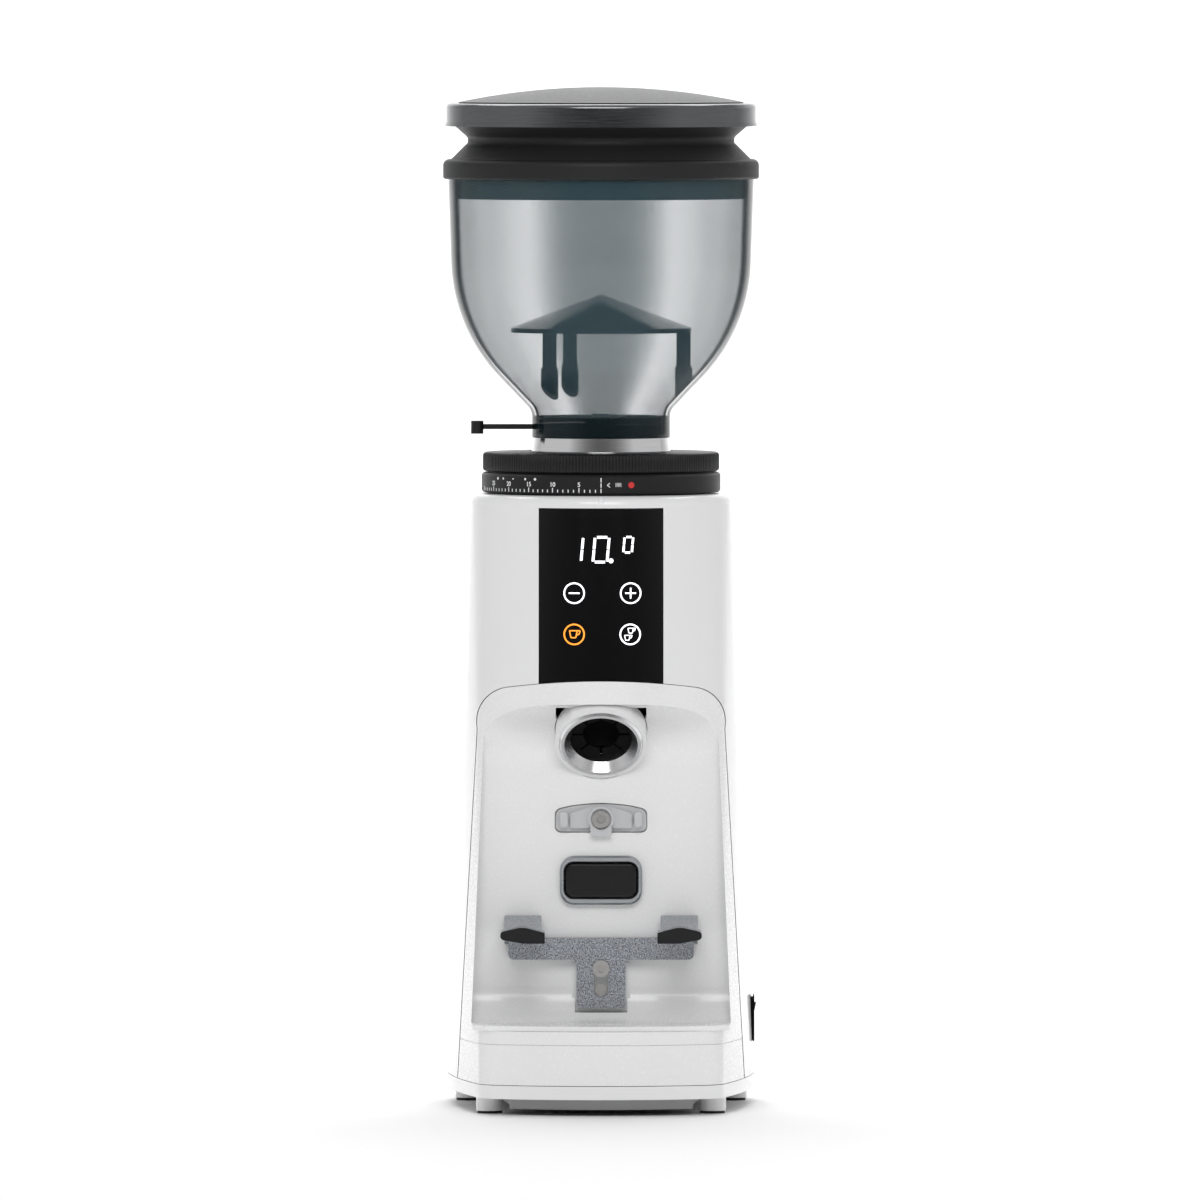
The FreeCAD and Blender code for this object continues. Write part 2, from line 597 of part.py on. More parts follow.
def make_burrs():
    low, high = S.lower_burr_z, S.upper_burr_z
    spots = burr_ring("lower_burr", low, True)
    burr_screws("lower_burr_screws", spots, low + S.burr_thick - 1.4, low + S.burr_thick - 3.0, low - 6.0)
    burr_ring("upper_burr", high, False)
    burr_screws("upper_burr_screws", spots, high + 1.4, high + 3.0, high + S.burr_thick + 6.0)

    lower = turned("lower_burr_carrier", outline(
        (S.shaft_r, S.chamber_floor_z + 0.6), (9.5, S.chamber_floor_z + 0.6), (9.5, 240.5), (33.0, 240.5),
        (33.0, low), (S.shaft_r, low)))
    blade = lower.add("XY", S.chamber_floor_z + 1.0, low - 1.0, box(32.0, S.chamber_r - 0.6, -2.0, 2.0))
    lower.repeat(blade, 4)
    lower.cut("XY", low, low - 6.0, *[circle(x, y, 2.0) for x, y in spots])

    plate = high + S.burr_thick
    upper = turned("upper_burr_carrier", outline(
        (S.burr_bore_r, plate), (S.chamber_r - 0.5, plate), (S.chamber_r - 0.5, 275.0), (S.thread_r, 275.0),
        (S.thread_r, 283.0), (S.neck_r, 283.0), (S.neck_r, S.seat_low_z), (S.spigot_r + 0.08, S.seat_low_z),
        (S.spigot_r + 0.08, S.spigot_low_z - 0.5), (28.0, S.spigot_low_z - 2.5),
        (S.burr_bore_r, plate + 12.0)))
    for side in (-1, 1):
        upper.add("XY", plate + 1.5, plate + 6.0, box(side * 36.0, side * 39.0, -2.8, 2.8))
    upper.cut("XY", plate, plate + 6.0, *[circle(x, y, 2.0) for x, y in spots])

    nut = Piece("carrier_nut")
    corners = [polar(7.5, 60.0 * i) for i in range(6)]
    nut.add("XY", low, low + 6.5, outline(*corners))
    nut.cut("XY", low, low + 6.5, circle(0, 0, 4.0))


def make_chamber():
    floor, top = S.chamber_floor_z, S.chamber_top_z
    housing = turned("burr_housing", outline(
        (8.0, floor - 4.0), (S.bearing_r, floor - 4.0), (S.bearing_r, 222.0), (17.0, 222.0),
        (17.0, floor - 4.0), (S.chamber_out_r, floor - 4.0), (S.chamber_out_r, top - 4.0),
        (53.0, top - 4.0), (53.0, 287.0), (58.5, 287.0),
        (58.5, S.body_top_z), (49.0, S.body_top_z), (49.0, top), (S.chamber_r, top), (S.chamber_r, floor),
        (8.0, floor)))
    housing.cut("XZ", -30.0, -50.0, box(-11.0, 11.0, 240.5, 260.0, 2.0))
    spring_spots = ring_of_spots(41.2, 3, 30.0)
    housing.cut("XY", top, top - 12.0, *[circle(x, y, 2.9) for x, y in spring_spots])
    for side in (-1, 1):
        housing.cut("XY", top, top - 8.0, box(side * 36.0, side * 39.6, -3.1, 3.1))

    springs = Piece("carrier_springs")
    springs.add("XY", top - 12.0, 275.0, *[circle(x, y, 2.3) for x, y in spring_spots])
    springs.cut("XY", top - 12.0, 275.0, *[circle(x, y, 1.7) for x, y in spring_spots])


# ---------------------------------------------------------------- motor

def bearing_outline(z):
    """A shielded ball bearing in section, standing on the height given."""
    inner, high = S.shaft_r + 0.03, z + S.bearing_wide
    return outline((inner, z), (8.0, z), (8.0, z + 0.5), (10.6, z + 0.5), (10.6, z), (S.bearing_r, z),
                   (S.bearing_r, high), (10.6, high), (10.6, high - 0.5), (8.0, high - 0.5), (8.0, high),
                   (inner, high))


def make_motor():
    low, high = S.motor_low_z, S.motor_high_z
    shaft = Piece("motor_shaft")
    shaft.add("XY", low + 1.0, S.lower_burr_z, circle(0, 0, S.shaft_r))
    shaft.add("XY", S.lower_burr_z, S.lower_burr_z + 8.0, circle(0, 0, 4.0))
    turned("shaft_bearings", bearing_outline(223.6), bearing_outline(94.6))
    turned("motor_rotor", box(S.shaft_r, S.rotor_r, 117.0, 178.0))

    stator = turned("motor_stator", box(S.stator_in_r, S.stator_out_r, 120.0, 175.0))
    slot = stator.cut("XY", 120.0, 175.0, box(22.4, 30.4, -2.6, 2.6))
    stator.repeat(slot, 12)
    windings = turned("stator_windings", box(22.6, 30.2, 108.0, 119.6), box(22.6, 30.2, 175.4, 188.0))
    bar = windings.add("XY", 119.0, 176.0, box(22.8, 30.0, -2.3, 2.3))
    windings.repeat(bar, 12)

    can = turned("motor_housing", outline(
        (6.0, low), (S.motor_r, low), (S.motor_r, high), (S.stator_out_r, high), (S.stator_out_r, low + 2.6),
        (17.0, low + 2.6), (17.0, low + 11.0), (S.bearing_r, low + 11.0), (S.bearing_r, low + 2.6),
        (6.0, low + 2.6)))
    vent = can.cut("XY", low, low + 2.6, outline((21.0, -2.0), (31.0, -2.0), (31.0, 2.0), (21.0, 2.0)))
    can.repeat(vent, 8)

    mount = Piece("motor_mount")
    mount.add("XY", high, high + 4.0, outline(
        (-36.0, -37.5), (36.0, -37.5), (50.0, -18.0), (50.0, 30.0), (34.0, 46.0), (-34.0, 46.0),
        (-50.0, 30.0), (-50.0, -18.0)))
    posts = ring_of_spots(40.0, 4, 45.0)
    mount.add("XY", high + 4.0, S.chamber_floor_z - 4.0, *[circle(x, y, 4.5) for x, y in posts])
    mount.cut("XY", high, high + 4.0, circle(0, 0, 9.0))


# ---------------------------------------------------------------- body shells

def body_loft(name, inset, lift=0.0):
    """A body-shaped tool from the foot to the top, drawn in by an inset."""
    tool = doc.addObject("PartDesign::Body", name)
    made = []
    for z in (S.body_low_z - lift, S.body_top_z + lift):
        sketch = tool.newObject("Sketcher::SketchObject", "Plan")
        origin = [f for f in tool.Origin.OriginFeatures if f.Role == "XY_Plane"]
        sketch.AttachmentSupport = (origin[0], [""])
        sketch.MapMode = "FlatFace"
        bind(sketch, "AttachmentOffset.Base.z", z)
        body_plan(z, inset)(sketch)
        made.append(sketch)
    loft = tool.newObject("PartDesign::AdditiveLoft", "Loft")
    loft.Profile = made[0]
    loft.Sections = [made[1]]
    loft.Ruled = True
    return tool


def arch_outline(gap):
    """The arch seam seen from the front, moved out by a gap."""
    top = S.arch_top_z + gap
    shoulder_x, shoulder_z = S.arch_shoulder_x, S.arch_shoulder_z + gap
    side_x, side_z = S.arch_side_x + gap, S.arch_side_z
    foot_x = S.arch_foot_x + gap
    return outline((-foot_x, 0), (foot_x, 0), (side_x, side_z), (shoulder_x, shoulder_z, None, 17.5),
                   (0, top, None, S.arch_bow_r), (-shoulder_x, shoulder_z, None, S.arch_bow_r),
                   (-side_x, side_z, None, 17.5))


def bay_form(name, grow):
    """The hollow of the portafilter bay, grown by a wall: side profile cut to the front outline."""
    form = Piece(name, kept=False)
    back = -(S.bay_back_y - grow)
    ceiling = S.bay_top_z + grow
    bed = S.tray_bed_z - grow
    profile = [(-120.0, bed), (-S.tray_back_y + grow, bed), (-S.tray_back_y + grow, S.bay_floor_z - grow),
               (back, S.bay_floor_z - grow, S.bay_heel_r + grow), (back, ceiling, S.bay_ceiling_r + grow),
               (-120.0, ceiling)]
    form.add("YZ", -70.0, 70.0, outline(*profile))
    low_x, high_x = S.bay_low_x + grow, S.bay_high_x + grow
    form.cut("XZ", -130.0, -20.0, box(-90.0, 90.0, 10.0, 220.0), outline(
        (-low_x, bed - 2.0), (low_x, bed - 2.0), (high_x, ceiling, S.bay_corner_r + grow),
        (-high_x, ceiling, S.bay_corner_r + grow)))
    return form.body


def boolean(kind, name, first, second):
    made = doc.addObject("Part::" + kind, name)
    made.Base = first
    made.Tool = second
    return made


def make_shells():
    solid = body_loft("form_outer", Dim(0.0, "0"))
    void = body_loft("form_inner", S.shell_wall, 1.0)
    skin = boolean("Cut", "form_skin", solid, void)

    shell = Piece("outer_shell", skin)
    shell.add("XY", S.body_top_z - 6.5, S.body_top_z - 3.5,
              circle(0, 0, S.body_top_r - 1.2), circle(0, 0, 54.5))
    gap = S.seam_gap
    shell.cut("XZ", -130.0, -5.0, arch_outline(gap))
    shell.cut("XZ", -130.0, -5.0,
              box(-S.display_x - gap, S.display_x + gap, S.display_low_z, S.body_top_z + 2.0))
    tall, wide = S.rocker_tall / 2, S.rocker_wide / 2
    shell.cut("YZ", 60.0, 80.0,
              box(S.rocker_y - wide, S.rocker_y + wide, S.rocker_z - tall, S.rocker_z + tall, 1.5))
    half, rise = S.inlet_wide / 2 + 0.2, S.inlet_tall / 2 + 0.2
    shell.cut("XZ", 60.0, 95.0, box(-half, half, S.inlet_z - rise, S.inlet_z + rise, 3.0))
    vents = [box(-22.0, 22.0, 150.0 + 8.0 * i, 153.0 + 8.0 * i, 1.4) for i in range(6)]
    shell.cut("XZ", 50.0, 95.0, *vents)

    bay = bay_form("form_bay", Dim(0.0, "0"))
    liner_block = bay_form("form_liner", S.bay_wall)
    doc.recompute()
    liner = boolean("Common", "form_liner_inside", liner_block, solid)
    joined = boolean("Fuse", "form_front_walls", skin, liner)
    opened = boolean("Cut", "form_front_open", joined, bay)
    panel = Piece("front_panel", opened)
    panel.cut("XZ", -130.0, 100.0, box(-100.0, 100.0, -10.0, 400.0), arch_outline(Dim(0.0, "0")))
    panel.cut("XY", 0.0, 300.0, box(-100.0, 100.0, -5.0, 120.0))
    panel.add("XZ", -(S.bay_back_y - S.bay_wall), -(S.bay_back_y - 6.0), box(-26.0, 26.0, 129.0, 153.0))
    guide_y = -S.bay_back_y - 1.0
    panel.add("XZ", -(S.bay_back_y - S.bay_wall), guide_y, box(-14.2, 14.2, 45.5, 71.5, 2.0))
    panel.cut("XZ", guide_y - 8.0, guide_y, box(-12.6, 12.6, 47.5, 66.0))
    cut_panel(panel)

    glass = Piece("display_panel", skin)
    glass.cut("XZ", -130.0, 100.0, box(-100.0, 100.0, -10.0, 400.0),
              box(-S.display_x, S.display_x, S.display_low_z - 8.0, S.display_high_z))
    glass.cut("XY", 0.0, 300.0, box(-100.0, 100.0, -5.0, 120.0))
    glass.cut("XZ", -130.0, -5.0, arch_outline(S.seam_gap))
    turned("top_bezel", outline(
        (S.collar_bore_r, S.body_top_z), (S.body_top_r, S.body_top_z), (S.body_top_r, S.bezel_top_z, 4.6),
        (S.collar_bore_r, S.bezel_top_z)))


def cut_panel(panel):
    """Openings and details of the front panel: chute, button, hook recess, screw holes and crease."""
    back = -S.bay_back_y
    panel.cut_along_chute(-20.0, 3.0, circle(0, 0, S.chute_r + 2.2))
    panel.cut_along_chute(-20.0, 3.0, box(-21.8, 21.8, 7.0, 17.0))
    wide, tall = S.button_width / 2 + 0.4, S.button_height / 2 + 0.4
    panel.cut("XZ", back - 1.0, back + 8.0,
              box(-wide, wide, S.button_z - tall, S.button_z + tall, S.button_corner))
    panel.cut("XZ", back, back + 3.0, hook_outline(0.0))
    panel.cut("XZ", back, back + 8.0, circle(0, S.hook_screw_z, 2.5))
    panel.cut("XZ", back - 1.0, back + 4.0, circle(0, S.fork_screw_z, 2.6))
    panel.cut("XZ", back - 1.0, back + 0.5, circle(0, S.fork_slot_low_z + 3.4, 3.3))
    panel.cut("XZ", back + 0.5, back + 4.0, circle(0, S.fork_slot_low_z + 3.4, 1.5))
    panel.cut("XY", S.crease_z, S.crease_z + 0.4, box(-90.0, 90.0, -130.0, 60.0),
              body_plan(S.crease_z, S.crease_depth))


def hook_outline(inset):
    """The D-shaped seat of the hook bracket: flat below, arched above."""
    reach = S.hook_half_width - inset
    low, high = S.hook_low_z + inset, S.hook_high_z - inset
    return outline((-reach, low, 3.0), (reach, low, 3.0), (reach, high - 3.5, 3.5), (14.0, high - 1.6, 12.0),
                   (0, high, 80.0), (-14.0, high - 1.6, 12.0), (-reach, high - 3.5, 3.5))


# ---------------------------------------------------------------- chute

def make_chute():
    face = S.chute_tilt + 90
    long = -S.chute_long
    ring = turned("chute_ring", outline(
        (S.chute_throat_r, long), (S.chute_r, long), (S.chute_r, -1.0), (S.chute_r - 1.0, 0),
        (S.chute_lip_r, 0), (S.chute_throat_r, -S.chute_cone)))
    flap = turned("chute_flap", box(S.chute_throat_r - 6.0, S.chute_r - 1.5, long - 1.2, long))
    flap.repeat(flap.cut("XY", long - 1.2, long, box(6.0, S.chute_throat_r - 1.0, -0.6, 0.6)), 8)
    cup = S.chute_r + 0.1
    socket = turned("chute_socket", outline(
        (S.chute_throat_r + 1.0, long - 4.0), (cup + 1.8, long - 4.0), (cup + 1.8, -1.0), (cup, -1.0),
        (cup, long - 1.2), (S.chute_throat_r + 1.0, long - 1.2)))
    for piece in (ring, flap, socket):
        piece.lean(-S.chute_y, S.chute_z, face)

    start = 18.6
    lean_y, lean_z = cos_of(S.chute_tilt), sin_of(S.chute_tilt)
    foot_y, foot_z = -S.chute_y + start * lean_y * 0.78, S.chute_z + start * lean_z * 0.78

    def profile(wall, spill):
        reach = 16.4 - wall
        front_y = foot_y - lean_z * reach - spill * lean_y
        front_z = foot_z + lean_y * reach - spill * lean_z
        back_y = foot_y + lean_z * reach - spill * lean_y
        back_z = foot_z - lean_y * reach - spill * lean_z
        return outline((front_y, front_z), (back_y, back_z), (-40.0 - wall, 190.0), (-40.0 - wall, 222.0),
                       (-45.3 - wall, 232.0), (-45.3 - wall, S.duct_top_z - wall),
                       (-60.0 + wall, S.duct_top_z - wall), (-64.0 + wall, 215.0))

    wide = S.duct_half_width
    duct = Piece("chute_duct")
    duct.add("YZ", -wide, wide, profile(0.0, 0.0))
    duct.cut("YZ", -wide + S.duct_wall, wide - S.duct_wall, profile(1.8, 3.0))
    duct.cut("XZ", -44.0, -52.0, box(-11.0, 11.0, 240.5, 260.0, 2.0))


# ---------------------------------------------------------------- things on the back wall of the bay

def make_bay_parts():
    back = -S.bay_back_y
    hook = Piece("hook_bracket")
    hook.add("XZ", back + 3.0, back + 0.6, hook_outline(0.5))
    hook.add("XZ", back + 0.6, back - 1.6, outline(
        (-14.8, 136.3, 1.0), (14.8, 136.3, 1.0), (14.8, 143.4, 1.5), (0, 148.0, 8.0), (-14.8, 143.4, 1.5)))
    hook.add("XZ", back + 0.6, back - 4.2, circle(0, S.hook_screw_z, 6.2))
    hook.add("XZ", back + 0.6, back - 4.4, oval(-17.9, 140.4, 1.8, 2.0), oval(17.9, 140.4, 1.8, 2.0))
    hook.add("XZ", back - 0.3, back - 4.2, box(-5.2, 5.2, 132.7, 137.0, 1.2))
    hook.cut("XZ", back - 5.0, back - 2.8, circle(0, S.hook_screw_z, 5.0))
    hook.cut("XZ", back - 4.0, back + 3.0, circle(0, S.hook_screw_z, 2.5))
    screw = Piece("hook_screw")
    screw.add("XZ", back - 2.8, back - 5.8, circle(0, S.hook_screw_z, 4.15))
    screw.add("XZ", back - 2.8, back + 6.6, circle(0, S.hook_screw_z, 2.5))
    corners = [(2.3 * cos_of(60.0 * i), S.hook_screw_z + 2.3 * sin_of(60.0 * i)) for i in range(6)]
    screw.cut("XZ", back - 5.8, back - 3.8, outline(*corners))

    z, corner = S.button_z, S.button_corner
    wide, tall = S.button_width / 2, S.button_height / 2
    bezel = Piece("switch_bezel")
    bezel.add("XZ", back, back - 4.0, box(-S.bezel_width / 2, S.bezel_width / 2, z - S.bezel_height / 2,
                                          z + S.bezel_height / 2, S.bezel_corner))
    bezel.cut("XZ", back - 5.0, back + 1.0,
              box(-wide - 0.3, wide + 0.3, z - tall - 0.3, z + tall + 0.3, corner + 0.3))
    bezel.soften("Chamfer", 0.9, edge_at_y(back - 4.0))
    button = Piece("portafilter_button")
    button.add("XZ", back - 5.0, back + 1.4, box(-wide, wide, z - tall, z + tall, corner))
    button.add("XZ", back + 1.4, back + 3.6, circle(0, z, 1.9))
    button.soften("Fillet", 0.8, edge_at_y(back - 5.0))
    spring = Piece("button_spring")
    spring.add("XZ", back + 3.4, back + 6.8, circle(0, z, 4.6), circle(0, z, 3.9))
    switch = Piece("micro_switch")
    switch.add("XZ", back + 6.8, back + 11.0, box(-10.0, 10.0, z - 5.5, z + 5.5))
    switch.add("XZ", back + 6.8, back + 5.6, circle(0, z, 1.4))
    switch.add("XZ", back + 11.0, back + 12.8, box(-21.5, 21.5, z - 6.5, z + 6.5))
    for side in (-1, 1):
        switch.add("XZ", back + S.bay_wall, back + 12.8, box(side * 19.5, side * 21.5, z - 6.5, z + 6.5))

    make_fork(back)


def make_fork(back):
    low, high = S.fork_bar_low_z, S.fork_bar_high_z
    rear = back - 1.2
    front = rear - S.fork_plate
    fork = Piece("fork")
    fork.add("XZ", rear, front, outline(
        (-S.fork_stem_x, S.fork_stem_z, 2.5), (S.fork_stem_x, S.fork_stem_z, 2.5), (S.fork_stem_x, low, 2.0),
        (S.fork_bar_x, low, 2.5), (S.fork_bar_x, high), (-S.fork_bar_x, high), (-S.fork_bar_x, low, 2.5),
        (-S.fork_stem_x, low, 2.0)))
    arm = outline((rear, high - 3.0), (rear, high + 10.6), (front, high + 10.6), (-S.fork_tip_y, high + 4.6),
                  (-S.fork_tip_y, high + 1.6), (front, high - 1.0))
    inner, outer = S.fork_gap / 2 + 2.0, S.fork_outer / 2 - 1.0
    for side in (-1, 1):
        fork.add("YZ", side * inner, side * outer, arm)
    middle = (S.fork_slot_low_z + S.fork_slot_high_z) / 2
    reach = (S.fork_slot_high_z - S.fork_slot_low_z) / 2 - S.fork_slot_w / 2
    fork.cut("XZ", front - 1.0, rear, oval(0, middle, S.fork_slot_w / 2, reach))

    pads = Piece("fork_pads")
    for side in (-1, 1):
        near, middle, far = side * (inner - 1.8), side * (inner + outer) / 2, side * (outer + 1.8)
        pads.add("XZ", -(S.fork_tip_y + 3.0), -(S.fork_tip_y - 19.0), outline(
            (near, high - 0.6), (middle, high - 0.6, 12.0), (far, high + 1.4, 2.0), (far, high + 5.0, 2.0),
            (middle, high + 7.4, 12.0), (near, high + 4.6)))
    for side in (-1, 1):
        pads.cut("YZ", side * inner, side * outer, arm)

    low_screw_z = S.fork_slot_low_z + 3.4
    screws = Piece("fork_screws")
    screws.add("XZ", front - 0.1, front - 2.6, circle(0, S.fork_screw_z, 4.05))
    screws.add("XZ", front - 0.1, back + 6.0, circle(0, S.fork_screw_z, 2.6))
    screws.cut("XZ", front - 2.6, front - 1.0, circle(0, S.fork_screw_z, 1.9))
    screws.add("XZ", back - 0.9, back + 0.5, circle(0, low_screw_z, 3.2))
    screws.add("XZ", back + 0.5, back + 6.0, circle(0, low_screw_z, 1.5))
    screws.cut("XZ", back - 0.9, back - 0.2, circle(0, low_screw_z, 1.4))


# ---------------------------------------------------------------- tray, foot and power parts

def make_foot():
    tray = Piece("floor_tray")
    tray.add("XY", S.tray_bed_z + 0.1, S.bay_floor_z, outline(
        (61.8, -S.tray_back_y - 0.2), (61.8, -84.0), (54.0, -93.5), (-54.0, -93.5, None, -166.5),
        (-61.8, -84.0), (-61.8, -S.tray_back_y - 0.2)))
    tray.cut("XY", S.bay_floor_z, S.bay_floor_z - 1.0, box(-11.3, 11.3, -84.0, -80.0, 1.5))
    base = Piece("base_ring")
    base.add("XY", S.ring_low_z, S.ring_top_z, body_plan(S.body_low_z, 0.0))
    base.cut("XY", S.ring_top_z, S.ring_low_z + S.pan_floor, body_plan(S.body_low_z, 3.5))
    cover = Piece("base_plate")

    def cover_outline(inset):
        wide = 44.0 - inset
        return outline((-wide, -86.0 + inset), (wide, -86.0 + inset, None, 95.0), (wide, -55.0),
                       (wide + 6.0, 20.0), (wide + 6.0, 50.0, 20.0), (-wide - 6.0, 50.0, 20.0),
                       (-wide - 6.0, 20.0), (-wide, -55.0))

    cover.add("XY", S.cover_low_z, S.ring_low_z, cover_outline(0.0))
    cover.cut("XY", S.cover_low_z + 2.0, S.ring_low_z, cover_outline(2.0))
    screw_spots = [(x, y) for x in (-36.5, 36.5) for y in (-60.0, 24.0)]
    cover.add("XY", S.cover_low_z, S.ring_low_z, *[circle(x, y, 4.0) for x, y in screw_spots])
    cover.cut("XY", S.cover_low_z, S.cover_low_z + 2.0, *[circle(x, y, 2.9) for x, y in screw_spots])
    cover.cut("XY", S.cover_low_z + 2.0, S.ring_low_z, *[circle(x, y, 1.5) for x, y in screw_spots])
    base.cut("XY", S.ring_low_z, S.ring_low_z + S.pan_floor, *[circle(x, y, 1.5) for x, y in screw_spots])
    screws = Piece("base_screws")
    screws.add("XY", S.cover_low_z + 0.3, S.cover_low_z + 2.0, *[circle(x, y, 2.8) for x, y in screw_spots])
    screws.add("XY", S.cover_low_z + 2.0, S.ring_low_z + 4.0, *[circle(x, y, 1.5) for x, y in screw_spots])
    spots = [(side * S.front_foot_x, -S.front_foot_y) for side in (-1, 1)]
    spots += [(side * S.rear_foot_x, S.rear_foot_y) for side in (-1, 1)]
    feet = Piece("feet")
    feet.add("XY", S.pad_height, S.ring_low_z, *[circle(x, y, S.foot_r) for x, y in spots])
    pads = Piece("foot_pads")
    pads.add("XY", 0.0, S.pad_height, *[circle(x, y, S.pad_r) for x, y in spots])


def make_power_parts():
    y, z, face = S.rocker_y, S.rocker_z, S.rocker_face_x
    tall, wide = S.rocker_tall / 2, S.rocker_wide / 2
    frame = Piece("rocker_frame")
    rim = face + 1.1
    frame.add("YZ", face + 0.5, rim, box(y - wide - 1.0, y + wide + 1.0, z - tall - 1.0, z + tall + 1.0, 1.5))
    frame.add("YZ", 58.0, rim, box(y - wide + 0.15, y + wide - 0.15, z - tall + 0.15, z + tall - 0.15, 1.0))
    frame.cut("YZ", rim, 60.0, box(y - wide + 1.2, y + wide - 1.2, z - tall + 0.9, z + tall - 0.9))
    rocker = Piece("power_rocker")
    rocker.add("XZ", y - wide + 1.5, y + wide - 1.5, outline(
        (66.0, z - 4.5), (face + 0.2, z - 7.8), (face + 1.2, z - 7.8), (face + 0.4, z), (face + 2.0, z + 7.6),
        (face + 0.2, z + 7.8), (66.0, z + 4.5)))
    rocker.add("XZ", y - wide + 1.25, y + wide - 1.25, circle(68.0, z, 1.5))

    half, rise, mid = S.inlet_wide / 2, S.inlet_tall / 2, S.inlet_z
    inlet = Piece("power_inlet")
    inlet.add("XZ", S.inlet_face_y, 60.0, outline(
        (-half, mid - rise, 2.0), (half, mid - rise, 2.0), (half, mid + rise, 3.0), (-half, mid + rise, 3.0)))
    inlet.add("XZ", 79.0, 81.0, box(-half - 2.5, half + 2.5, mid - rise - 2.5, mid + rise + 2.5, 2.0))
    inlet.cut("XZ", S.inlet_face_y, 67.0, outline(
        (-half + 2.0, mid - rise + 2.5), (half - 2.0, mid - rise + 2.5), (half - 2.0, mid + 2.5),
        (half - 6.0, mid + rise - 2.5), (-half + 6.0, mid + rise - 2.5), (-half + 2.0, mid + 2.5)))
    spots = ((-7.0, mid - 2.0), (0.0, mid + 2.0), (7.0, mid - 2.0))
    inlet.add("XZ", 81.0, 55.5, *[box(x - 1.0, x + 1.0, z - 2.0, z + 2.0) for x, z in spots])

    board = Piece("control_board")
    board.add("XZ", 50.0, 51.6, box(-46.0, 4.0, 10.3, 100.0))
    board.add("XZ", 51.6, 66.0, box(-42.0, -20.0, 60.0, 86.0))
    board.add("XZ", 51.6, 62.0, box(-16.0, -2.0, 64.0, 82.0))
    board.add("XZ", 51.6, 58.0, box(-42.0, -10.0, 18.0, 26.0))
    capacitor = Piece("capacitor")
    capacitor.add("XY", S.ring_low_z + S.pan_floor, 76.0, circle(34.0, 50.0, 14.0))
    capacitor.add("XY", 76.0, 82.0, box(29.0, 31.0, 47.0, 53.0), box(37.0, 39.0, 47.0, 53.0))

    pcb = Piece("display_board")
    pcb.add("XZ", 0.0, 1.2, box(-14.0, 14.0, 0.0, 70.0))
    pcb.add("XZ", 0.0, -1.1, box(-11.0, 11.0, 46.0, 66.0))
    rise = math.degrees(math.atan2(number(S.plan_front - S.body_top_r), number(S.body_top_z - S.body_low_z)))
    pcb.lean(-71.5, 212.0, Dim(-rise, f"({-rise!r} * 1)"))


make_lid()
make_hopper()
make_baffle()
make_collar()
make_burrs()
make_chamber()
make_motor()
make_shells()
make_chute()
make_bay_parts()
make_foot()
make_power_parts()
doc.recompute()

for item in doc.Objects:
    if "Invalid" in item.State or "Error" in item.State:
        raise RuntimeError(f"{item.Label} did not rebuild")

os.makedirs("parts", exist_ok=True)
for body in pieces:
    shape = body.Shape
    if shape.isNull() or not shape.isValid():
        raise RuntimeError(f"{body.Label} is not a valid solid")
    shape.exportStep(f"parts/{body.Label}.step")
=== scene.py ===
import math

import bmesh
import bpy
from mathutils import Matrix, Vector
from mathutils.bvhtree import BVHTree


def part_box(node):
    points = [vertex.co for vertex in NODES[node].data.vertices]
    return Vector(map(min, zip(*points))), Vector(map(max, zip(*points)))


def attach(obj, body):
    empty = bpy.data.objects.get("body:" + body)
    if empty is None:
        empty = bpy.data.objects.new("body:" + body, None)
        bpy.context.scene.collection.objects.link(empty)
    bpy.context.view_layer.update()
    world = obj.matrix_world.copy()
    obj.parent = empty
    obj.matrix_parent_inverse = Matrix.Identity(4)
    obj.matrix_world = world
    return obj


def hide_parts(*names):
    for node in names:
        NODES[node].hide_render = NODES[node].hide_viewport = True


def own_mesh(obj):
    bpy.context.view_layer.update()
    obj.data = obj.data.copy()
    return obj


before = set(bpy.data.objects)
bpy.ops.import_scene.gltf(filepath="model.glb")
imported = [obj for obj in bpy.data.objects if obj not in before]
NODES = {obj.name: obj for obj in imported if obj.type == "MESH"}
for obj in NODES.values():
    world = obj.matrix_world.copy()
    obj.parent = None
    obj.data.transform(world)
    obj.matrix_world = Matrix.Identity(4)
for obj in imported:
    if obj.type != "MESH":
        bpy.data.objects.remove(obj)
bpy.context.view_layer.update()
MM = 0.001

# ---------------------------------------------------------------- places taken from the frame

SCALE_LOW, SCALE_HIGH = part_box("scale_ring")
GRIP_LOW, GRIP_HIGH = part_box("grip_ring")
AXIS_X = (SCALE_LOW[0] + SCALE_HIGH[0]) / 2
AXIS_Y = (SCALE_LOW[1] + SCALE_HIGH[1]) / 2
SCALE_R = (SCALE_HIGH[0] - SCALE_LOW[0]) / 2
GRIP_R = (GRIP_HIGH[0] - GRIP_LOW[0]) / 2
MARK_THICK = 0.00008          # printed marks on the scale ring
LIT_THICK = 0.00012           # lit strokes of the display
LEVER_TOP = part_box("gate_lever")[1][2]
FRONT_MARGIN = 0.05           # rays start this far in front of a surface


# ---------------------------------------------------------------- materials

def principled(name, color, rough, metallic=0.0, **sockets):
    """A new material with its shader; further sockets are named with _ for a space."""
    mat = bpy.data.materials.new(name)
    mat.use_nodes = True
    shader = mat.node_tree.nodes["Principled BSDF"]
    shader.inputs["Base Color"].default_value = (*color, 1.0)
    shader.inputs["Roughness"].default_value = rough
    shader.inputs["Metallic"].default_value = metallic
    for key, value in sockets.items():
        shader.inputs[key.replace("_", " ")].default_value = value
    return mat, shader


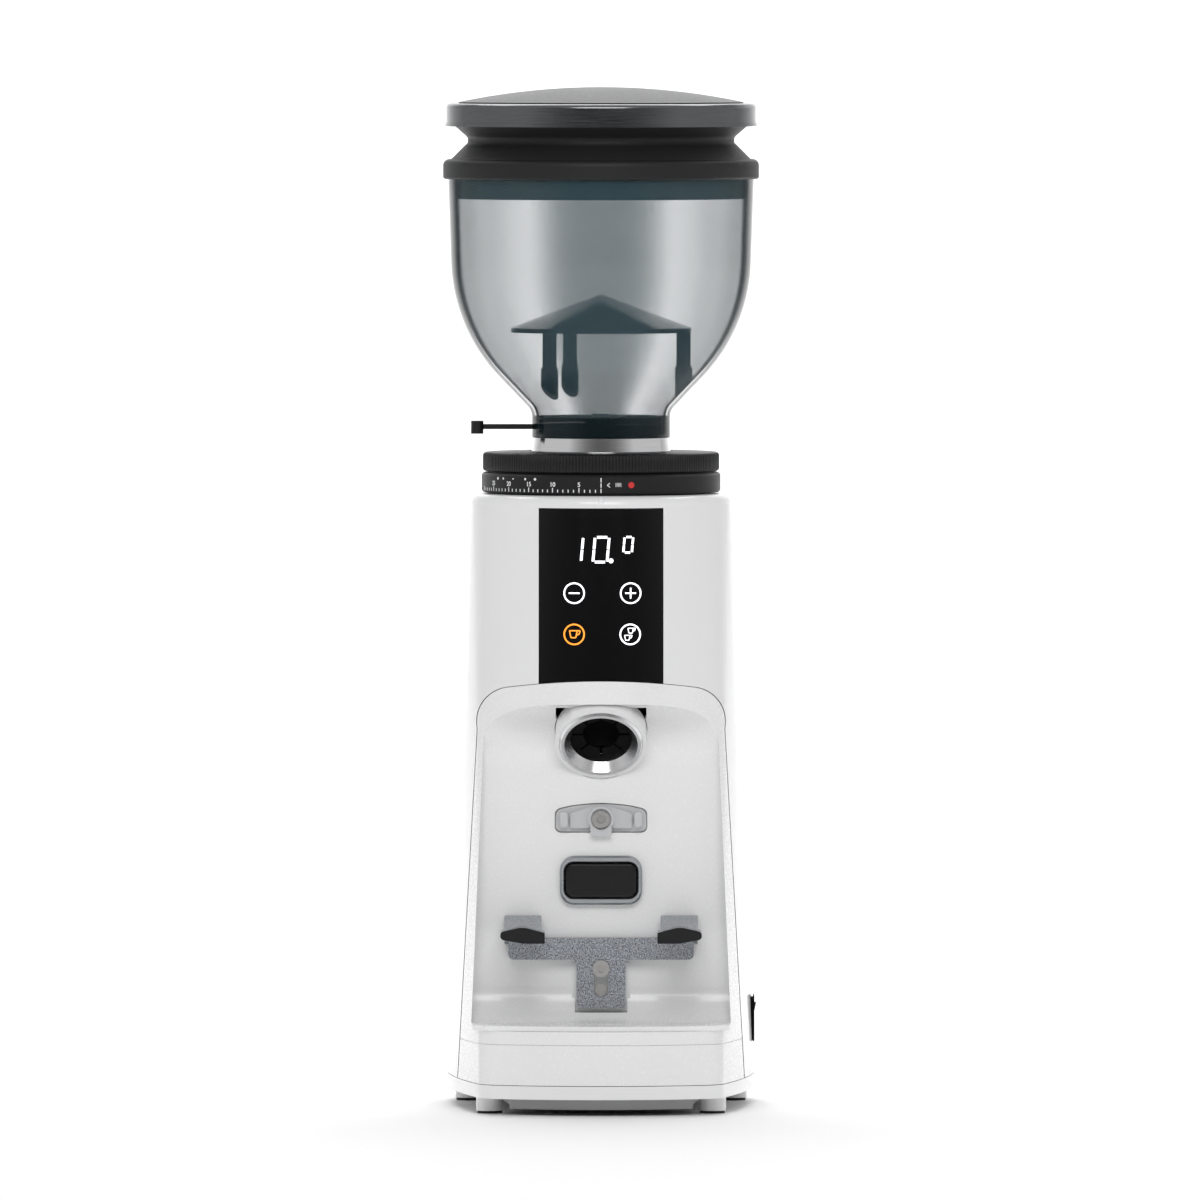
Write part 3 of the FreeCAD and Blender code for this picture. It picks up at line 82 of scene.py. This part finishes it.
def noise(mat, scale, detail=3.0, stretch=(1.0, 1.0, 1.0)):
    """Procedural noise laid out in object space."""
    tree = mat.node_tree
    coord = tree.nodes.new("ShaderNodeTexCoord")
    mapping = tree.nodes.new("ShaderNodeMapping")
    mapping.inputs["Scale"].default_value = stretch
    texture = tree.nodes.new("ShaderNodeTexNoise")
    texture.inputs["Scale"].default_value = scale
    texture.inputs["Detail"].default_value = detail
    tree.links.new(coord.outputs["Object"], mapping.inputs["Vector"])
    tree.links.new(mapping.outputs["Vector"], texture.inputs["Vector"])
    return texture.outputs["Fac"]


def vary(mat, shader, source, socket, low, high):
    """Spread a pattern between two values or colours on a shader socket."""
    tree = mat.node_tree
    ramp = tree.nodes.new("ShaderNodeValToRGB")
    for stop, position, value in zip(ramp.color_ramp.elements, (0.3, 0.7), (low, high)):
        stop.position = position
        stop.color = (*value, 1.0) if isinstance(value, tuple) else (value, value, value, 1.0)
    tree.links.new(source, ramp.inputs["Fac"])
    tree.links.new(ramp.outputs["Color"], shader.inputs[socket])


def emboss(mat, shader, source, depth, strength):
    """Turn a pattern into fine relief."""
    tree = mat.node_tree
    bump = tree.nodes.new("ShaderNodeBump")
    bump.inputs["Strength"].default_value = strength
    bump.inputs["Distance"].default_value = depth
    tree.links.new(source, bump.inputs["Height"])
    tree.links.new(bump.outputs["Normal"], shader.inputs["Normal"])


def shade(color, factor):
    """A lighter or darker version of a colour."""
    return tuple(min(1.0, c * factor) for c in color)


def plastic(name, color, rough, coat=0.0, grain=900.0, depth=0.00001, shine=0.5):
    """Moulded plastic; shine is the strength of its reflection and coat that of a lacquer over it."""
    mat, shader = principled(name, color, rough, Coat_Weight=coat, Coat_Roughness=0.06,
                             Specular_IOR_Level=shine)
    vary(mat, shader, noise(mat, 6.0), "Base Color", shade(color, 0.985), shade(color, 1.01))
    fine = noise(mat, grain, 2.0)
    vary(mat, shader, fine, "Roughness", rough * 0.9, rough * 1.1)
    emboss(mat, shader, fine, depth, 0.25)
    return mat


def metal(name, color, rough, stretch=(1.0, 1.0, 40.0), grain=60.0):
    """Brushed metal; stretch squeezes the grain into lines."""
    mat, shader = principled(name, color, rough, 1.0)
    brushed = noise(mat, grain, 3.0, stretch)
    vary(mat, shader, brushed, "Roughness", rough * 0.8, rough * 1.25)
    vary(mat, shader, brushed, "Base Color", shade(color, 0.95), shade(color, 1.04))
    emboss(mat, shader, brushed, 0.00001, 0.3)
    return mat


def cast(name, color):
    """Sparkly cast metal: coarse grain in colour and relief."""
    mat, shader = principled(name, color, 0.4, 0.85)
    grain = noise(mat, 1700.0, 1.0)
    vary(mat, shader, grain, "Base Color", shade(color, 0.3), shade(color, 2.0))
    emboss(mat, shader, grain, 0.00012, 0.7)
    return mat


def smoked(name, color, alpha):
    """See-through tinted plastic."""
    mat, shader = principled(name, color, 0.05, Alpha=alpha, IOR=1.45)
    vary(mat, shader, noise(mat, 8.0), "Base Color", shade(color, 0.97), shade(color, 1.03))
    return mat


def math_node(tree, operation, first, second):
    """One sum in a shader; each side is a number or a socket."""
    node = tree.nodes.new("ShaderNodeMath")
    node.operation = operation
    for i, value in enumerate((first, second)):
        if isinstance(value, (int, float)):
            node.inputs[i].default_value = value
        else:
            tree.links.new(value, node.inputs[i])
    return node.outputs[0]


# painted reflection bands of the bowl: painted dark reflection at front, back and sides, painted highlights
# between; share of the way from front or back to the sides, opacity there, brightness of the tint there
BOWL_PAINTED_REFLECTIONS = ((0.0, 0.42, 0.8), (0.24, 0.20, 1.0), (0.60, 0.27, 0.9), (0.90, 0.34, 0.6), (0.96, 0.99, 0.02))
NECK_MARGIN = 0.0015          # the dark neck ends this far above the gate lever
NECK_DARK = 0.8


def banded_bowl(name, tint):
    """Smoked plastic with painted reflections: its tint changes in soft upright bands, with painted dark
    reflection and shade at front, back and sides and painted highlights between them; it is also darker
    round the neck.
    """
    mat, shader = principled(name, tint, 0.06, Specular_IOR_Level=0.18)
    tree = mat.node_tree
    coord = tree.nodes.new("ShaderNodeTexCoord")
    split = tree.nodes.new("ShaderNodeSeparateXYZ")
    tree.links.new(coord.outputs["Object"], split.inputs[0])
    across = math_node(tree, "SUBTRACT", split.outputs["X"], AXIS_X)
    depth = math_node(tree, "SUBTRACT", split.outputs["Y"], AXIS_Y)
    across_sq = math_node(tree, "MULTIPLY", across, across)
    depth_sq = math_node(tree, "MULTIPLY", depth, depth)
    # share runs from 0 at front and back to 1 at the sides; the painted reflection and shade bands are laid
    # out along it
    share = math_node(tree, "DIVIDE", across_sq, math_node(tree, "ADD", across_sq, depth_sq))
    neck = math_node(tree, "LESS_THAN", split.outputs["Z"], LEVER_TOP + NECK_MARGIN)
    for socket in ("Base Color", "Alpha"):
        ramp = tree.nodes.new("ShaderNodeValToRGB")
        ramp.color_ramp.interpolation = "EASE"
        stops = ramp.color_ramp.elements
        while len(stops) < len(BOWL_PAINTED_REFLECTIONS):
            stops.new(0.5)
        for stop, (spot, alpha, glow) in zip(stops, BOWL_PAINTED_REFLECTIONS):
            stop.position = spot
            stop.color = (*shade(tint, glow), 1.0) if socket == "Base Color" else (alpha, alpha, alpha, 1.0)
        tree.links.new(share, ramp.inputs["Fac"])
        if socket == "Base Color":
            dim = tree.nodes.new("ShaderNodeVectorMath")
            dim.operation = "SCALE"
            tree.links.new(ramp.outputs["Color"], dim.inputs[0])
            darker = math_node(tree, "MULTIPLY", neck, NECK_DARK)
            tree.links.new(math_node(tree, "SUBTRACT", 1.0, darker), dim.inputs["Scale"])
            tree.links.new(dim.outputs[0], shader.inputs[socket])
        else:
            dark = math_node(tree, "MULTIPLY", neck, NECK_DARK)
            tree.links.new(math_node(tree, "MAXIMUM", ramp.outputs["Color"], dark), shader.inputs[socket])
    return mat


def glowing(name, color, strength):
    """A lit stroke of the display."""
    mat, shader = principled(name, color, 0.4, Emission_Strength=strength)
    shader.inputs["Emission Color"].default_value = (*color, 1.0)
    vary(mat, shader, noise(mat, 400.0), "Base Color", shade(color, 0.95), color)
    return mat


WHITE = plastic("white_gloss", (0.83, 0.83, 0.835), 0.22, 0.35)
WHITE_PANEL = plastic("white_panel", (0.86, 0.86, 0.86), 0.26, 0.3)
BLACK_SATIN = plastic("black_satin", (0.010, 0.010, 0.011), 0.42, shine=0.28)
BLACK_GLOSS = plastic("black_gloss", (0.006, 0.006, 0.007), 0.14, shine=0.3)
BLACK_MATT = plastic("black_matt", (0.004, 0.004, 0.004), 0.7, shine=0.1)
RUBBER = plastic("rubber", (0.012, 0.012, 0.013), 0.5, 0.0, 1400.0, 0.00004, shine=0.3)
GREY_LID = plastic("grey_lid", (0.03, 0.032, 0.034), 0.42, shine=0.35)
SKIRT = plastic("skirt_grey", (0.035, 0.048, 0.052), 0.45)
PLINTH = plastic("plinth_grey", (0.42, 0.42, 0.42), 0.45)
STEEL = metal("steel", (0.62, 0.63, 0.64), 0.24)
POLISHED = metal("polished_ring", (0.83, 0.83, 0.84), 0.1, (1.0, 1.0, 60.0))
DARK_CHROME = metal("dark_chrome", (0.16, 0.165, 0.17), 0.2, (1.0, 1.0, 60.0))
CHUTE_METAL = metal("chute_metal", (0.78, 0.78, 0.79), 0.22, (1.0, 1.0, 1.0))
BEZEL_METAL = metal("bezel_metal", (0.45, 0.47, 0.49), 0.32)
SCREW_METAL = metal("screw_metal", (0.46, 0.45, 0.44), 0.33)
IRON = metal("housing_metal", (0.42, 0.43, 0.44), 0.5)
COPPER = metal("copper_wire", (0.75, 0.33, 0.14), 0.35, (1.0, 1.0, 8.0), 200.0)
CAST = cast("sparkle_cast", (0.27, 0.285, 0.31))
HOOK = plastic("hook_paint", (0.56, 0.565, 0.575), 0.3, 0.2)
BOARD = plastic("circuit_board", (0.02, 0.13, 0.05), 0.5)
PALE = plastic("capacitor_shell", (0.62, 0.62, 0.6), 0.4)
# the bowl's tint carries painted reflections, painted highlights and painted shade in upright bands
HOPPER = banded_bowl("smoked_bowl_painted_reflections", (0.065, 0.125, 0.15))
SLEEVE = smoked("dark_sleeve", (0.02, 0.025, 0.03), 0.75)
MARK = plastic("white_mark", (0.86, 0.87, 0.88), 0.4)
RED_MARK = plastic("red_mark", (0.65, 0.03, 0.03), 0.4)
LIT_WHITE = glowing("lit_white", (0.95, 0.96, 1.0), 1.2)
LIT_ORANGE = glowing("lit_orange", (0.9, 0.28, 0.02), 1.1)
DISPLAY = plastic("display_gloss", (0.004, 0.004, 0.0045), 0.1, shine=0.22)

FINISH = {
    WHITE: ("outer_shell", "top_bezel", "base_ring", "feet", "chute_socket"),
    WHITE_PANEL: ("front_panel", "floor_tray"),
    BLACK_SATIN: ("grip_ring", "scale_ring", "chute_duct", "micro_switch", "motor_housing", "gate_lever"),
    BLACK_GLOSS: ("portafilter_button", "power_rocker", "bean_baffle", "gate_seat", "fork_pads"),
    BLACK_MATT: ("rocker_frame", "power_inlet", "chute_flap"),
    RUBBER: ("bellows", "lid_collar", "foot_pads"),
    GREY_LID: ("lid_cap",),
    SKIRT: ("lid_skirt",),
    PLINTH: ("base_plate",),
    POLISHED: ("hopper_seat_ring",),
    DARK_CHROME: ("lid_trim_ring",),
    CHUTE_METAL: ("chute_ring",),
    BEZEL_METAL: ("switch_bezel",),
    SCREW_METAL: ("hook_screw", "fork_screws", "gate_pivot_screw", "collar_screws", "base_screws"),
    IRON: ("burr_housing", "motor_mount", "upper_burr_carrier", "lower_burr_carrier"),
    STEEL: ("motor_shaft", "shaft_bearings", "motor_rotor", "motor_stator", "lower_burr", "upper_burr",
            "lower_burr_screws", "upper_burr_screws", "carrier_nut", "carrier_springs", "button_spring"),
    COPPER: ("stator_windings",),
    CAST: ("fork",),
    HOOK: ("hook_bracket",),
    BOARD: ("display_board", "control_board"),
    PALE: ("capacitor",),
    HOPPER: ("hopper",),
    SLEEVE: ("baffle_sleeves",),
    DISPLAY: ("display_panel",),
}
for finish, names in FINISH.items():
    for name in names:
        node = NODES[name]
        node.data.materials.clear()
        node.data.materials.append(finish)

# edges of machined and moulded parts catch the light: flat faces are merged, then their corners
# rounded by this many millimetres
ROUNDED = {
    "fork": 0.9, "fork_pads": 1.8, "floor_tray": 0.5, "hook_bracket": 0.4, "feet": 0.6, "base_ring": 0.7,
    "switch_bezel": 0.6, "power_rocker": 0.4, "gate_lever": 0.5, "chute_ring": 0.25, "hopper_seat_ring": 0.4,
    "lid_trim_ring": 0.3, "base_plate": 0.8, "front_panel": 0.45, "scale_ring": 0.2, "top_bezel": 0.1,
    "hook_screw": 0.3, "fork_screws": 0.3, "bean_baffle": 0.5,
}
for name, size in ROUNDED.items():
    node = NODES[name]
    merge = node.modifiers.new("merge", "DECIMATE")
    merge.decimate_type = "DISSOLVE"
    merge.angle_limit = math.radians(0.5)
    soft = node.modifiers.new("soften", "BEVEL")
    soft.width = size * MM
    soft.segments = 3
    soft.limit_method = "ANGLE"
    soft.angle_limit = math.radians(35)
    soft.harden_normals = True


# ---------------------------------------------------------------- small helpers for new pieces

def piece(name, bm, material, body, smooth=True):
    """Make a piece of the mesh that rides a body."""
    mesh = bpy.data.meshes.new(name)
    bm.normal_update()
    bm.to_mesh(mesh)
    bm.free()
    mesh.materials.append(material)
    obj = bpy.data.objects.new(name, mesh)
    bpy.context.scene.collection.objects.link(obj)
    if smooth:
        mesh.shade_smooth()
    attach(obj, body)
    return obj


def prism(bm, outline, place, thick):
    """A thin solid over a closed flat outline of (u, v), laid where place(u, v, depth) puts it."""
    low = [bm.verts.new(place(u, v, 0.0)) for u, v in outline]
    high = [bm.verts.new(place(u, v, thick)) for u, v in outline]
    count = len(outline)
    bm.faces.new(high)
    bm.faces.new(list(reversed(low)))
    for i in range(count):
        j = (i + 1) % count
        bm.faces.new((low[i], low[j], high[j], high[i]))


def ring_band(bm, u, v, inner, outer, place, thick, steps=40):
    """A thin flat ring."""
    def loop(radius, depth):
        return [bm.verts.new(place(u + radius * math.cos(2 * math.pi * i / steps),
                                   v + radius * math.sin(2 * math.pi * i / steps), depth))
                for i in range(steps)]
    a, b, c, d = loop(inner, 0.0), loop(outer, 0.0), loop(outer, thick), loop(inner, thick)
    for i in range(steps):
        j = (i + 1) % steps
        for one, two in ((a, b), (b, c), (c, d), (d, a)):
            bm.faces.new((one[i], one[j], two[j], two[i]))


def disc(u, v, radius, steps):
    """The outline of a round dot."""
    return [(u + radius * math.cos(2 * math.pi * i / steps), v + radius * math.sin(2 * math.pi * i / steps))
            for i in range(steps)]


def bar(u0, v0, u1, v1, wide, parts=1):
    """A straight stroke between two points, with square ends."""
    length = math.hypot(u1 - u0, v1 - v0)
    du, dv = (u1 - u0) / length, (v1 - v0) / length
    ou, ov = -dv * wide / 2, du * wide / 2
    up = [(u0 + (u1 - u0) * i / parts + ou, v0 + (v1 - v0) * i / parts + ov) for i in range(parts + 1)]
    down = [(u0 + (u1 - u0) * i / parts - ou, v0 + (v1 - v0) * i / parts - ov) for i in range(parts + 1)]
    return down + list(reversed(up))


def around(radius, angle, z):
    """A point on a ring round the grinder's axis; angle 0 is at the front."""
    return (AXIS_X + radius * math.sin(angle), AXIS_Y - radius * math.cos(angle), z)


def close_rows(bm, rows):
    """Join closed loops of points into the skin of a ring."""
    for lower, upper in zip(rows, rows[1:] + rows[:1]):
        count = len(lower)
        for i in range(count):
            j = (i + 1) % count
            bm.faces.new((lower[i], lower[j], upper[j], upper[i]))


# ---------------------------------------------------------------- grip ring with its fine ribs

def make_grip():
    """The grip ring again, with ribs all round its rim, down to the sleeve that hides in the body."""
    ribs, per_rib = 220, 6
    wave = 0.00042
    top, foot = GRIP_HIGH[2], GRIP_LOW[2]
    low, high = top - 0.0098, top - 0.0006
    step_z = top - 0.0038
    sleeve_r, bore_r, step_r, eye_r = 0.0476, 0.0437, 0.036, 0.0346
    # radius, height, share of the full rib depth
    profile = [(sleeve_r, foot, 0), (sleeve_r, low, 0),
               (GRIP_R - 0.0012, low, 0), (GRIP_R - 0.0004, low + 0.0004, 1),
               (GRIP_R, low + 0.0012, 1), (GRIP_R, high - 0.0014, 1),
               (GRIP_R - 0.0005, high - 0.0005, 1), (GRIP_R - 0.0016, high, 0),
               (step_r, top, 0), (eye_r, top, 0),
               (eye_r, step_z, 0), (bore_r, step_z, 0), (bore_r, foot, 0)]
    steps = ribs * per_rib
    bm = bmesh.new()
    rows = []
    for radius, z, ribbed in profile:
        row = []
        for i in range(steps):
            angle = 2 * math.pi * i / steps
            dip = wave * ribbed * (0.5 - 0.5 * math.cos(angle * ribs)) ** 2
            row.append(bm.verts.new(around(radius - dip, angle, z)))
        rows.append(row)
    close_rows(bm, rows)
    obj = piece("grip_ring_ribbed", bm, BLACK_SATIN, "collar")
    obj.data.set_sharp_from_angle(angle=math.radians(40))
    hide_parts("grip_ring")


def make_bellows():
    """The soft ring between the lid and its collar."""
    low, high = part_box("bellows")
    base, top = low[2], high[2]
    outer = (high[0] - low[0]) / 2
    wall, waist, rim = 0.0025, outer - 0.0079, outer - 0.0018
    profile = [(outer, base), (outer - 0.0067, base + 0.0067),
               (waist - 0.0001, base + 0.0079), (waist - 0.0001, base + 0.0102),
               (waist + 0.0009, base + 0.0114), (rim, top), (rim - wall, top),
               (waist - wall + 0.0006, base + 0.0112), (waist - wall, base + 0.0103),
               (waist - wall, base + 0.0078), (outer - wall, base)]
    steps = 128
    bm = bmesh.new()
    rows = [[bm.verts.new(around(radius, 2 * math.pi * i / steps, z)) for i in range(steps)]
            for radius, z in profile]
    close_rows(bm, rows)
    obj = piece("bellows_soft", bm, RUBBER, "lid_base")
    obj.data.set_sharp_from_angle(angle=math.radians(50))
    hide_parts("bellows")
    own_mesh(obj)


# ---------------------------------------------------------------- marks on the scale ring

TICK_PITCH = math.radians(2.65)
DIGIT_TALL = 0.0022
CAP_SHARE = 1.38              # size of the lettering over the height of its figures


def on_scale(u, v, depth):
    """u is the arc length to the right of the front, v the height; depth stands out of the ring."""
    return around(SCALE_R + depth - 0.00003, u / SCALE_R, v)


def tick_at(count):
    """Where the given tick stands, counted to the left from the zero line."""
    return -count * TICK_PITCH * SCALE_R


def text_mesh(text):
    """The flat mesh of a number."""
    curve = bpy.data.curves.new("digits", "FONT")
    curve.body = text
    curve.size = DIGIT_TALL * CAP_SHARE
    curve.align_x = "CENTER"
    curve.extrude = 0.00004
    curve.offset = 0.00005
    holder = bpy.data.objects.new("digits", curve)
    bpy.context.scene.collection.objects.link(holder)
    bpy.context.view_layer.update()
    mesh = bpy.data.meshes.new_from_object(holder)
    bpy.data.objects.remove(holder)
    return mesh


def make_scale_marks():
    """Ticks, numbers, the dashed zero line, an arrow head, bars and dots in place of signs, a red dot."""
    low = SCALE_LOW[2] + 0.0011
    half = 0.00025
    bm = bmesh.new()
    for k in range(1, 30):
        u = tick_at(k)
        tall = 0.0022 if (k + 1) % 5 == 0 else 0.0014
        prism(bm, [(u - half, low), (u + half, low), (u + half, low + tall), (u - half, low + tall)],
              on_scale, MARK_THICK)
    dash, step = 0.0021, 0.0026
    for i in range(3):
        start = low - 0.0002 + i * step
        prism(bm, [(-half, start), (half, start), (half, start + dash), (-half, start + dash)],
              on_scale, MARK_THICK)
    for value in (5, 10, 15, 20, 25):
        place_digits(bm, text_mesh(str(value)), tick_at(value - 1), low + 0.0028)
    mid = SCALE_LOW[2] + 0.0047
    tip, tail, rise = 0.0030, 0.0043, 0.0010
    for way in (1, -1):
        prism(bm, bar(tip, mid, tail, mid + way * rise, 0.0004), on_scale, MARK_THICK)
    for i in range(5):
        u = 0.0072 + i * 0.0006
        prism(bm, bar(u, mid - 0.0009 + 0.0003 * (i % 2), u, mid + 0.0011, 0.00025), on_scale, MARK_THICK)
    for k, radius in ((12.6, 0.0007), (14.8, 0.0006), (17.8, 0.0004), (20.6, 0.00055), (22.4, 0.0007)):
        prism(bm, disc(tick_at(k), low + 0.0062, radius, 12), on_scale, MARK_THICK)
    piece("scale_marks", bm, MARK, "collar", smooth=False)
    red = bmesh.new()
    prism(red, disc(math.radians(14.6) * SCALE_R, mid, 0.0015, 32), on_scale, MARK_THICK)
    piece("scale_red_dot", red, RED_MARK, "collar", smooth=False)


def place_digits(bm, mesh, centre, base):
    """Wrap flat digits round the scale ring."""
    verts = [bm.verts.new(on_scale(centre + v.co.x, base + v.co.y, 0.00004 + v.co.z)) for v in mesh.vertices]
    for face in mesh.polygons:
        bm.faces.new([verts[i] for i in face.vertices])
    bpy.data.meshes.remove(mesh)


def make_index_tick():
    """The white index on the shoulder of the top bezel."""
    low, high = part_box("top_bezel")
    surface = surface_of("top_bezel")
    drop, tall, steps, proud = 0.0032, 0.0031, 6, 0.00012
    bm = bmesh.new()
    rows = []
    for step in range(steps + 1):
        z = high[2] - drop + tall * step / steps
        row = []
        for u in (-0.00135, -0.00045, 0.00045, 0.00135):
            spot = surface.ray_cast(Vector((u, low[1] - FRONT_MARGIN, z)), Vector((0, 1, 0)))[0]
            row.append(bm.verts.new((u, spot.y - proud, z)))
        rows.append(row)
    for lower, upper in zip(rows, rows[1:]):
        for i in range(len(lower) - 1):
            bm.faces.new((lower[i], lower[i + 1], upper[i + 1], upper[i]))
    thicken = piece("index_tick", bm, MARK, "body").modifiers.new("thick", "SOLIDIFY")
    thicken.thickness = 0.0001
    thicken.offset = -1.0


# ---------------------------------------------------------------- display

DIGIT_MID = 0.2707            # height the digits lean about
DIGIT_LEAN = 0.09
DIGIT_TOP = 0.2773
LEFT_U, RIGHT_U = -0.0129, 0.0142
UPPER_V, LOWER_V = 0.2499, 0.2302
KEY_R, KEY_LINE = 0.00515, 0.00075
SIGN_HALF, SIGN_LINE = 0.0026, 0.0007


def surface_of(name):
    """The finished outside of a node, to cast rays at."""
    node = NODES[name]
    depsgraph = bpy.context.evaluated_depsgraph_get()
    bm = bmesh.new()
    bm.from_object(node, depsgraph)
    bm.transform(node.matrix_world)
    tree = BVHTree.FromBMesh(bm)
    bm.free()
    return tree


def make_display():
    """The lit reading, the two white signs, the cups and the rings round them."""
    surface = surface_of("display_panel")
    front_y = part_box("display_panel")[0][1] - FRONT_MARGIN

    def place(u, v, depth):
        spot, normal, _, _ = surface.ray_cast(Vector((u, front_y, v)), Vector((0, 1, 0)))
        outward = normal if normal.y < 0 else -normal
        return spot + outward * (depth + 0.00001)

    lit = bmesh.new()
    draw_zero(lit, 0.0, 0.2642, DIGIT_TOP, 0.0034, 0.00125, place)
    draw_zero(lit, 0.01285, 0.2688, DIGIT_TOP, 0.00205, 0.00105, place)
    one_u = -0.0091
    for low_v, high_v in ((0.2655, 0.2707), (0.2712, 0.2763)):
        prism(lit, bar(slanted(one_u, low_v), low_v, slanted(one_u, high_v), high_v, 0.0012, 2),
              place, LIT_THICK)
    prism(lit, disc(0.0048, 0.2654, 0.00115, 16), place, LIT_THICK)
    for u, v in ((LEFT_U, UPPER_V), (RIGHT_U, UPPER_V), (0.0140, LOWER_V)):
        ring_band(lit, u, v, KEY_R - KEY_LINE, KEY_R, place, LIT_THICK)
    for u in (LEFT_U, RIGHT_U):
        prism(lit, bar(u - SIGN_HALF, UPPER_V, u + SIGN_HALF, UPPER_V, SIGN_LINE), place, LIT_THICK)
    prism(lit, bar(RIGHT_U, UPPER_V - SIGN_HALF, RIGHT_U, UPPER_V + SIGN_HALF, SIGN_LINE), place, LIT_THICK)
    draw_cup(lit, 0.0142, 0.2320, 0.0026, place)
    draw_cup(lit, 0.0126, 0.2286, 0.0026, place)
    piece("display_white", lit, LIT_WHITE, "body", smooth=False)
    warm = bmesh.new()
    ring_band(warm, LEFT_U, LOWER_V, KEY_R - KEY_LINE, KEY_R, place, LIT_THICK)
    draw_cup(warm, -0.0133, 0.2303, 0.0037, place)
    piece("display_orange", warm, LIT_ORANGE, "body", smooth=False)


def slanted(u, v):
    """Lean of the digits: they tip a little to the right with height."""
    return u + (v - DIGIT_MID) * DIGIT_LEAN


def draw_zero(bm, u, low, high, half, stroke, place):
    """A seven-segment nought with cut corners."""
    gap, mid, cut = 0.0002, (low + high) / 2, stroke * 0.75
    for side in (-1, 1):
        x = u + side * half
        for start, stop in ((low + cut, mid - gap), (mid + gap, high - cut)):
            prism(bm, bar(slanted(x, start), start, slanted(x, stop), stop, stroke, 2), place, LIT_THICK)
    for v in (low + stroke / 2, high - stroke / 2):
        left, right = slanted(u - half + cut, v), slanted(u + half - cut, v)
        prism(bm, bar(left, v, right, v, stroke, 2), place, LIT_THICK)


def draw_cup(bm, u, v, wide, place):
    """A small cup in outline: a tapered bowl with a handle on its right."""
    half, rise, foot, line = wide / 2, wide * 0.45, wide * 0.32, wide * 0.16
    bowl = [(u - half, v + rise), (u + half, v + rise), (u + foot, v - rise), (u - foot, v - rise),
            (u - half, v + rise)]
    handle = [(u + half, v + rise), (u + half * 1.75, v + rise), (u + half * 1.5, v),
              (u + half * 0.9, v - rise * 0.2)]
    for path in (bowl, handle):
        for (u0, v0), (u1, v1) in zip(path, path[1:]):
            prism(bm, bar(u0, v0, u1, v1, line), place, LIT_THICK)


# ---------------------------------------------------------------- room, light and camera

def area_light(name, spot, target, wide, power, tall):
    """A soft box of the given width and height, turned to the target."""
    data = bpy.data.lights.new(name, "AREA")
    data.energy = power
    data.shape = "RECTANGLE"
    data.size = wide
    data.size_y = tall
    lamp = bpy.data.objects.new(name, data)
    lamp.location = spot
    lamp.rotation_euler = (Vector(target) - Vector(spot)).to_track_quat("-Z", "Y").to_euler()
    bpy.context.scene.collection.objects.link(lamp)


def make_floor():
    """A white floor that curves up into a backdrop and can't be seen from behind."""
    mat, shader = principled("floor", (0.92, 0.92, 0.92), 0.7)
    tree = mat.node_tree
    side = tree.nodes.new("ShaderNodeNewGeometry")
    clear = tree.nodes.new("ShaderNodeBsdfTransparent")
    mix = tree.nodes.new("ShaderNodeMixShader")
    tree.links.new(side.outputs["Backfacing"], mix.inputs[0])
    tree.links.new(shader.outputs[0], mix.inputs[1])
    tree.links.new(clear.outputs[0], mix.inputs[2])
    tree.links.new(mix.outputs[0], tree.nodes["Material Output"].inputs["Surface"])
    bend_y, bend_r, steps = 2.2, 0.8, 12
    front_y, back_y, half_wide, tall = -4.0, 3.0, 5.0, 4.0
    section = [(front_y, 0.0), (bend_y, 0.0)]
    for i in range(1, steps + 1):
        turn = math.pi / 2 * i / steps
        section.append((bend_y + bend_r * math.sin(turn), bend_r - bend_r * math.cos(turn)))
    section.append((back_y, tall))
    bm = bmesh.new()
    rows = [[bm.verts.new((x, y, z)) for x in (-half_wide, half_wide)] for y, z in section]
    for lower, upper in zip(rows, rows[1:]):
        bm.faces.new((lower[0], lower[1], upper[1], upper[0]))
    mesh = bpy.data.meshes.new("floor")
    bm.to_mesh(mesh)
    bm.free()
    mesh.materials.append(mat)
    mesh.shade_smooth()
    floor = bpy.data.objects.new("floor", mesh)
    bpy.context.scene.collection.objects.link(floor)


def make_world():
    """Even light from all round that fades towards the viewer's side."""
    world = bpy.data.worlds.new("studio")
    world.use_nodes = True
    tree = world.node_tree
    coord = tree.nodes.new("ShaderNodeTexCoord")
    split = tree.nodes.new("ShaderNodeSeparateXYZ")
    ramp = tree.nodes.new("ShaderNodeValToRGB")
    tree.links.new(coord.outputs["Generated"], split.inputs[0])
    front = math_node(tree, "MULTIPLY", split.outputs["Y"], -1.0)
    tree.links.new(front, ramp.inputs["Fac"])
    for stop, position, grey in zip(ramp.color_ramp.elements, (0.55, 0.97), (0.80, 0.12)):
        stop.position, stop.color = position, (grey, grey, grey, 1.0)
    tree.links.new(ramp.outputs["Color"], tree.nodes["Background"].inputs["Color"])
    tree.nodes["Background"].inputs["Strength"].default_value = 0.72
    bpy.context.scene.world = world


def make_lights():
    area_light("front_high", (0.0, -2.9, 2.1), (0.0, 0.0, 0.25), 2.2, 43.0, 1.4)
    area_light("backdrop", (0.0, 1.6, 2.2), (0.0, 2.2, 0.0), 2.4, 60.0, 2.4)


def make_camera():
    """A far, nearly level camera from the front."""
    data = bpy.data.cameras.new("camera")
    data.sensor_width = 36.0
    aim_x, distance, height, aim_z, frame_wide = -0.0005, 9.68, 0.559, 0.2444, 0.5808
    reach = math.hypot(distance, height - aim_z)
    data.lens = data.sensor_width * reach / frame_wide
    data.clip_end = 50.0
    camera = bpy.data.objects.new("camera", data)
    camera.location = (aim_x, AXIS_Y - distance, height)
    aim = Vector((aim_x, AXIS_Y, aim_z))
    camera.rotation_euler = (aim - camera.location).to_track_quat("-Z", "Y").to_euler()
    bpy.context.scene.collection.objects.link(camera)
    bpy.context.scene.camera = camera


make_grip()
make_bellows()
make_scale_marks()
make_index_tick()
make_display()
make_floor()
make_world()
make_lights()
make_camera()
bpy.context.scene.view_settings.view_transform = "Standard"
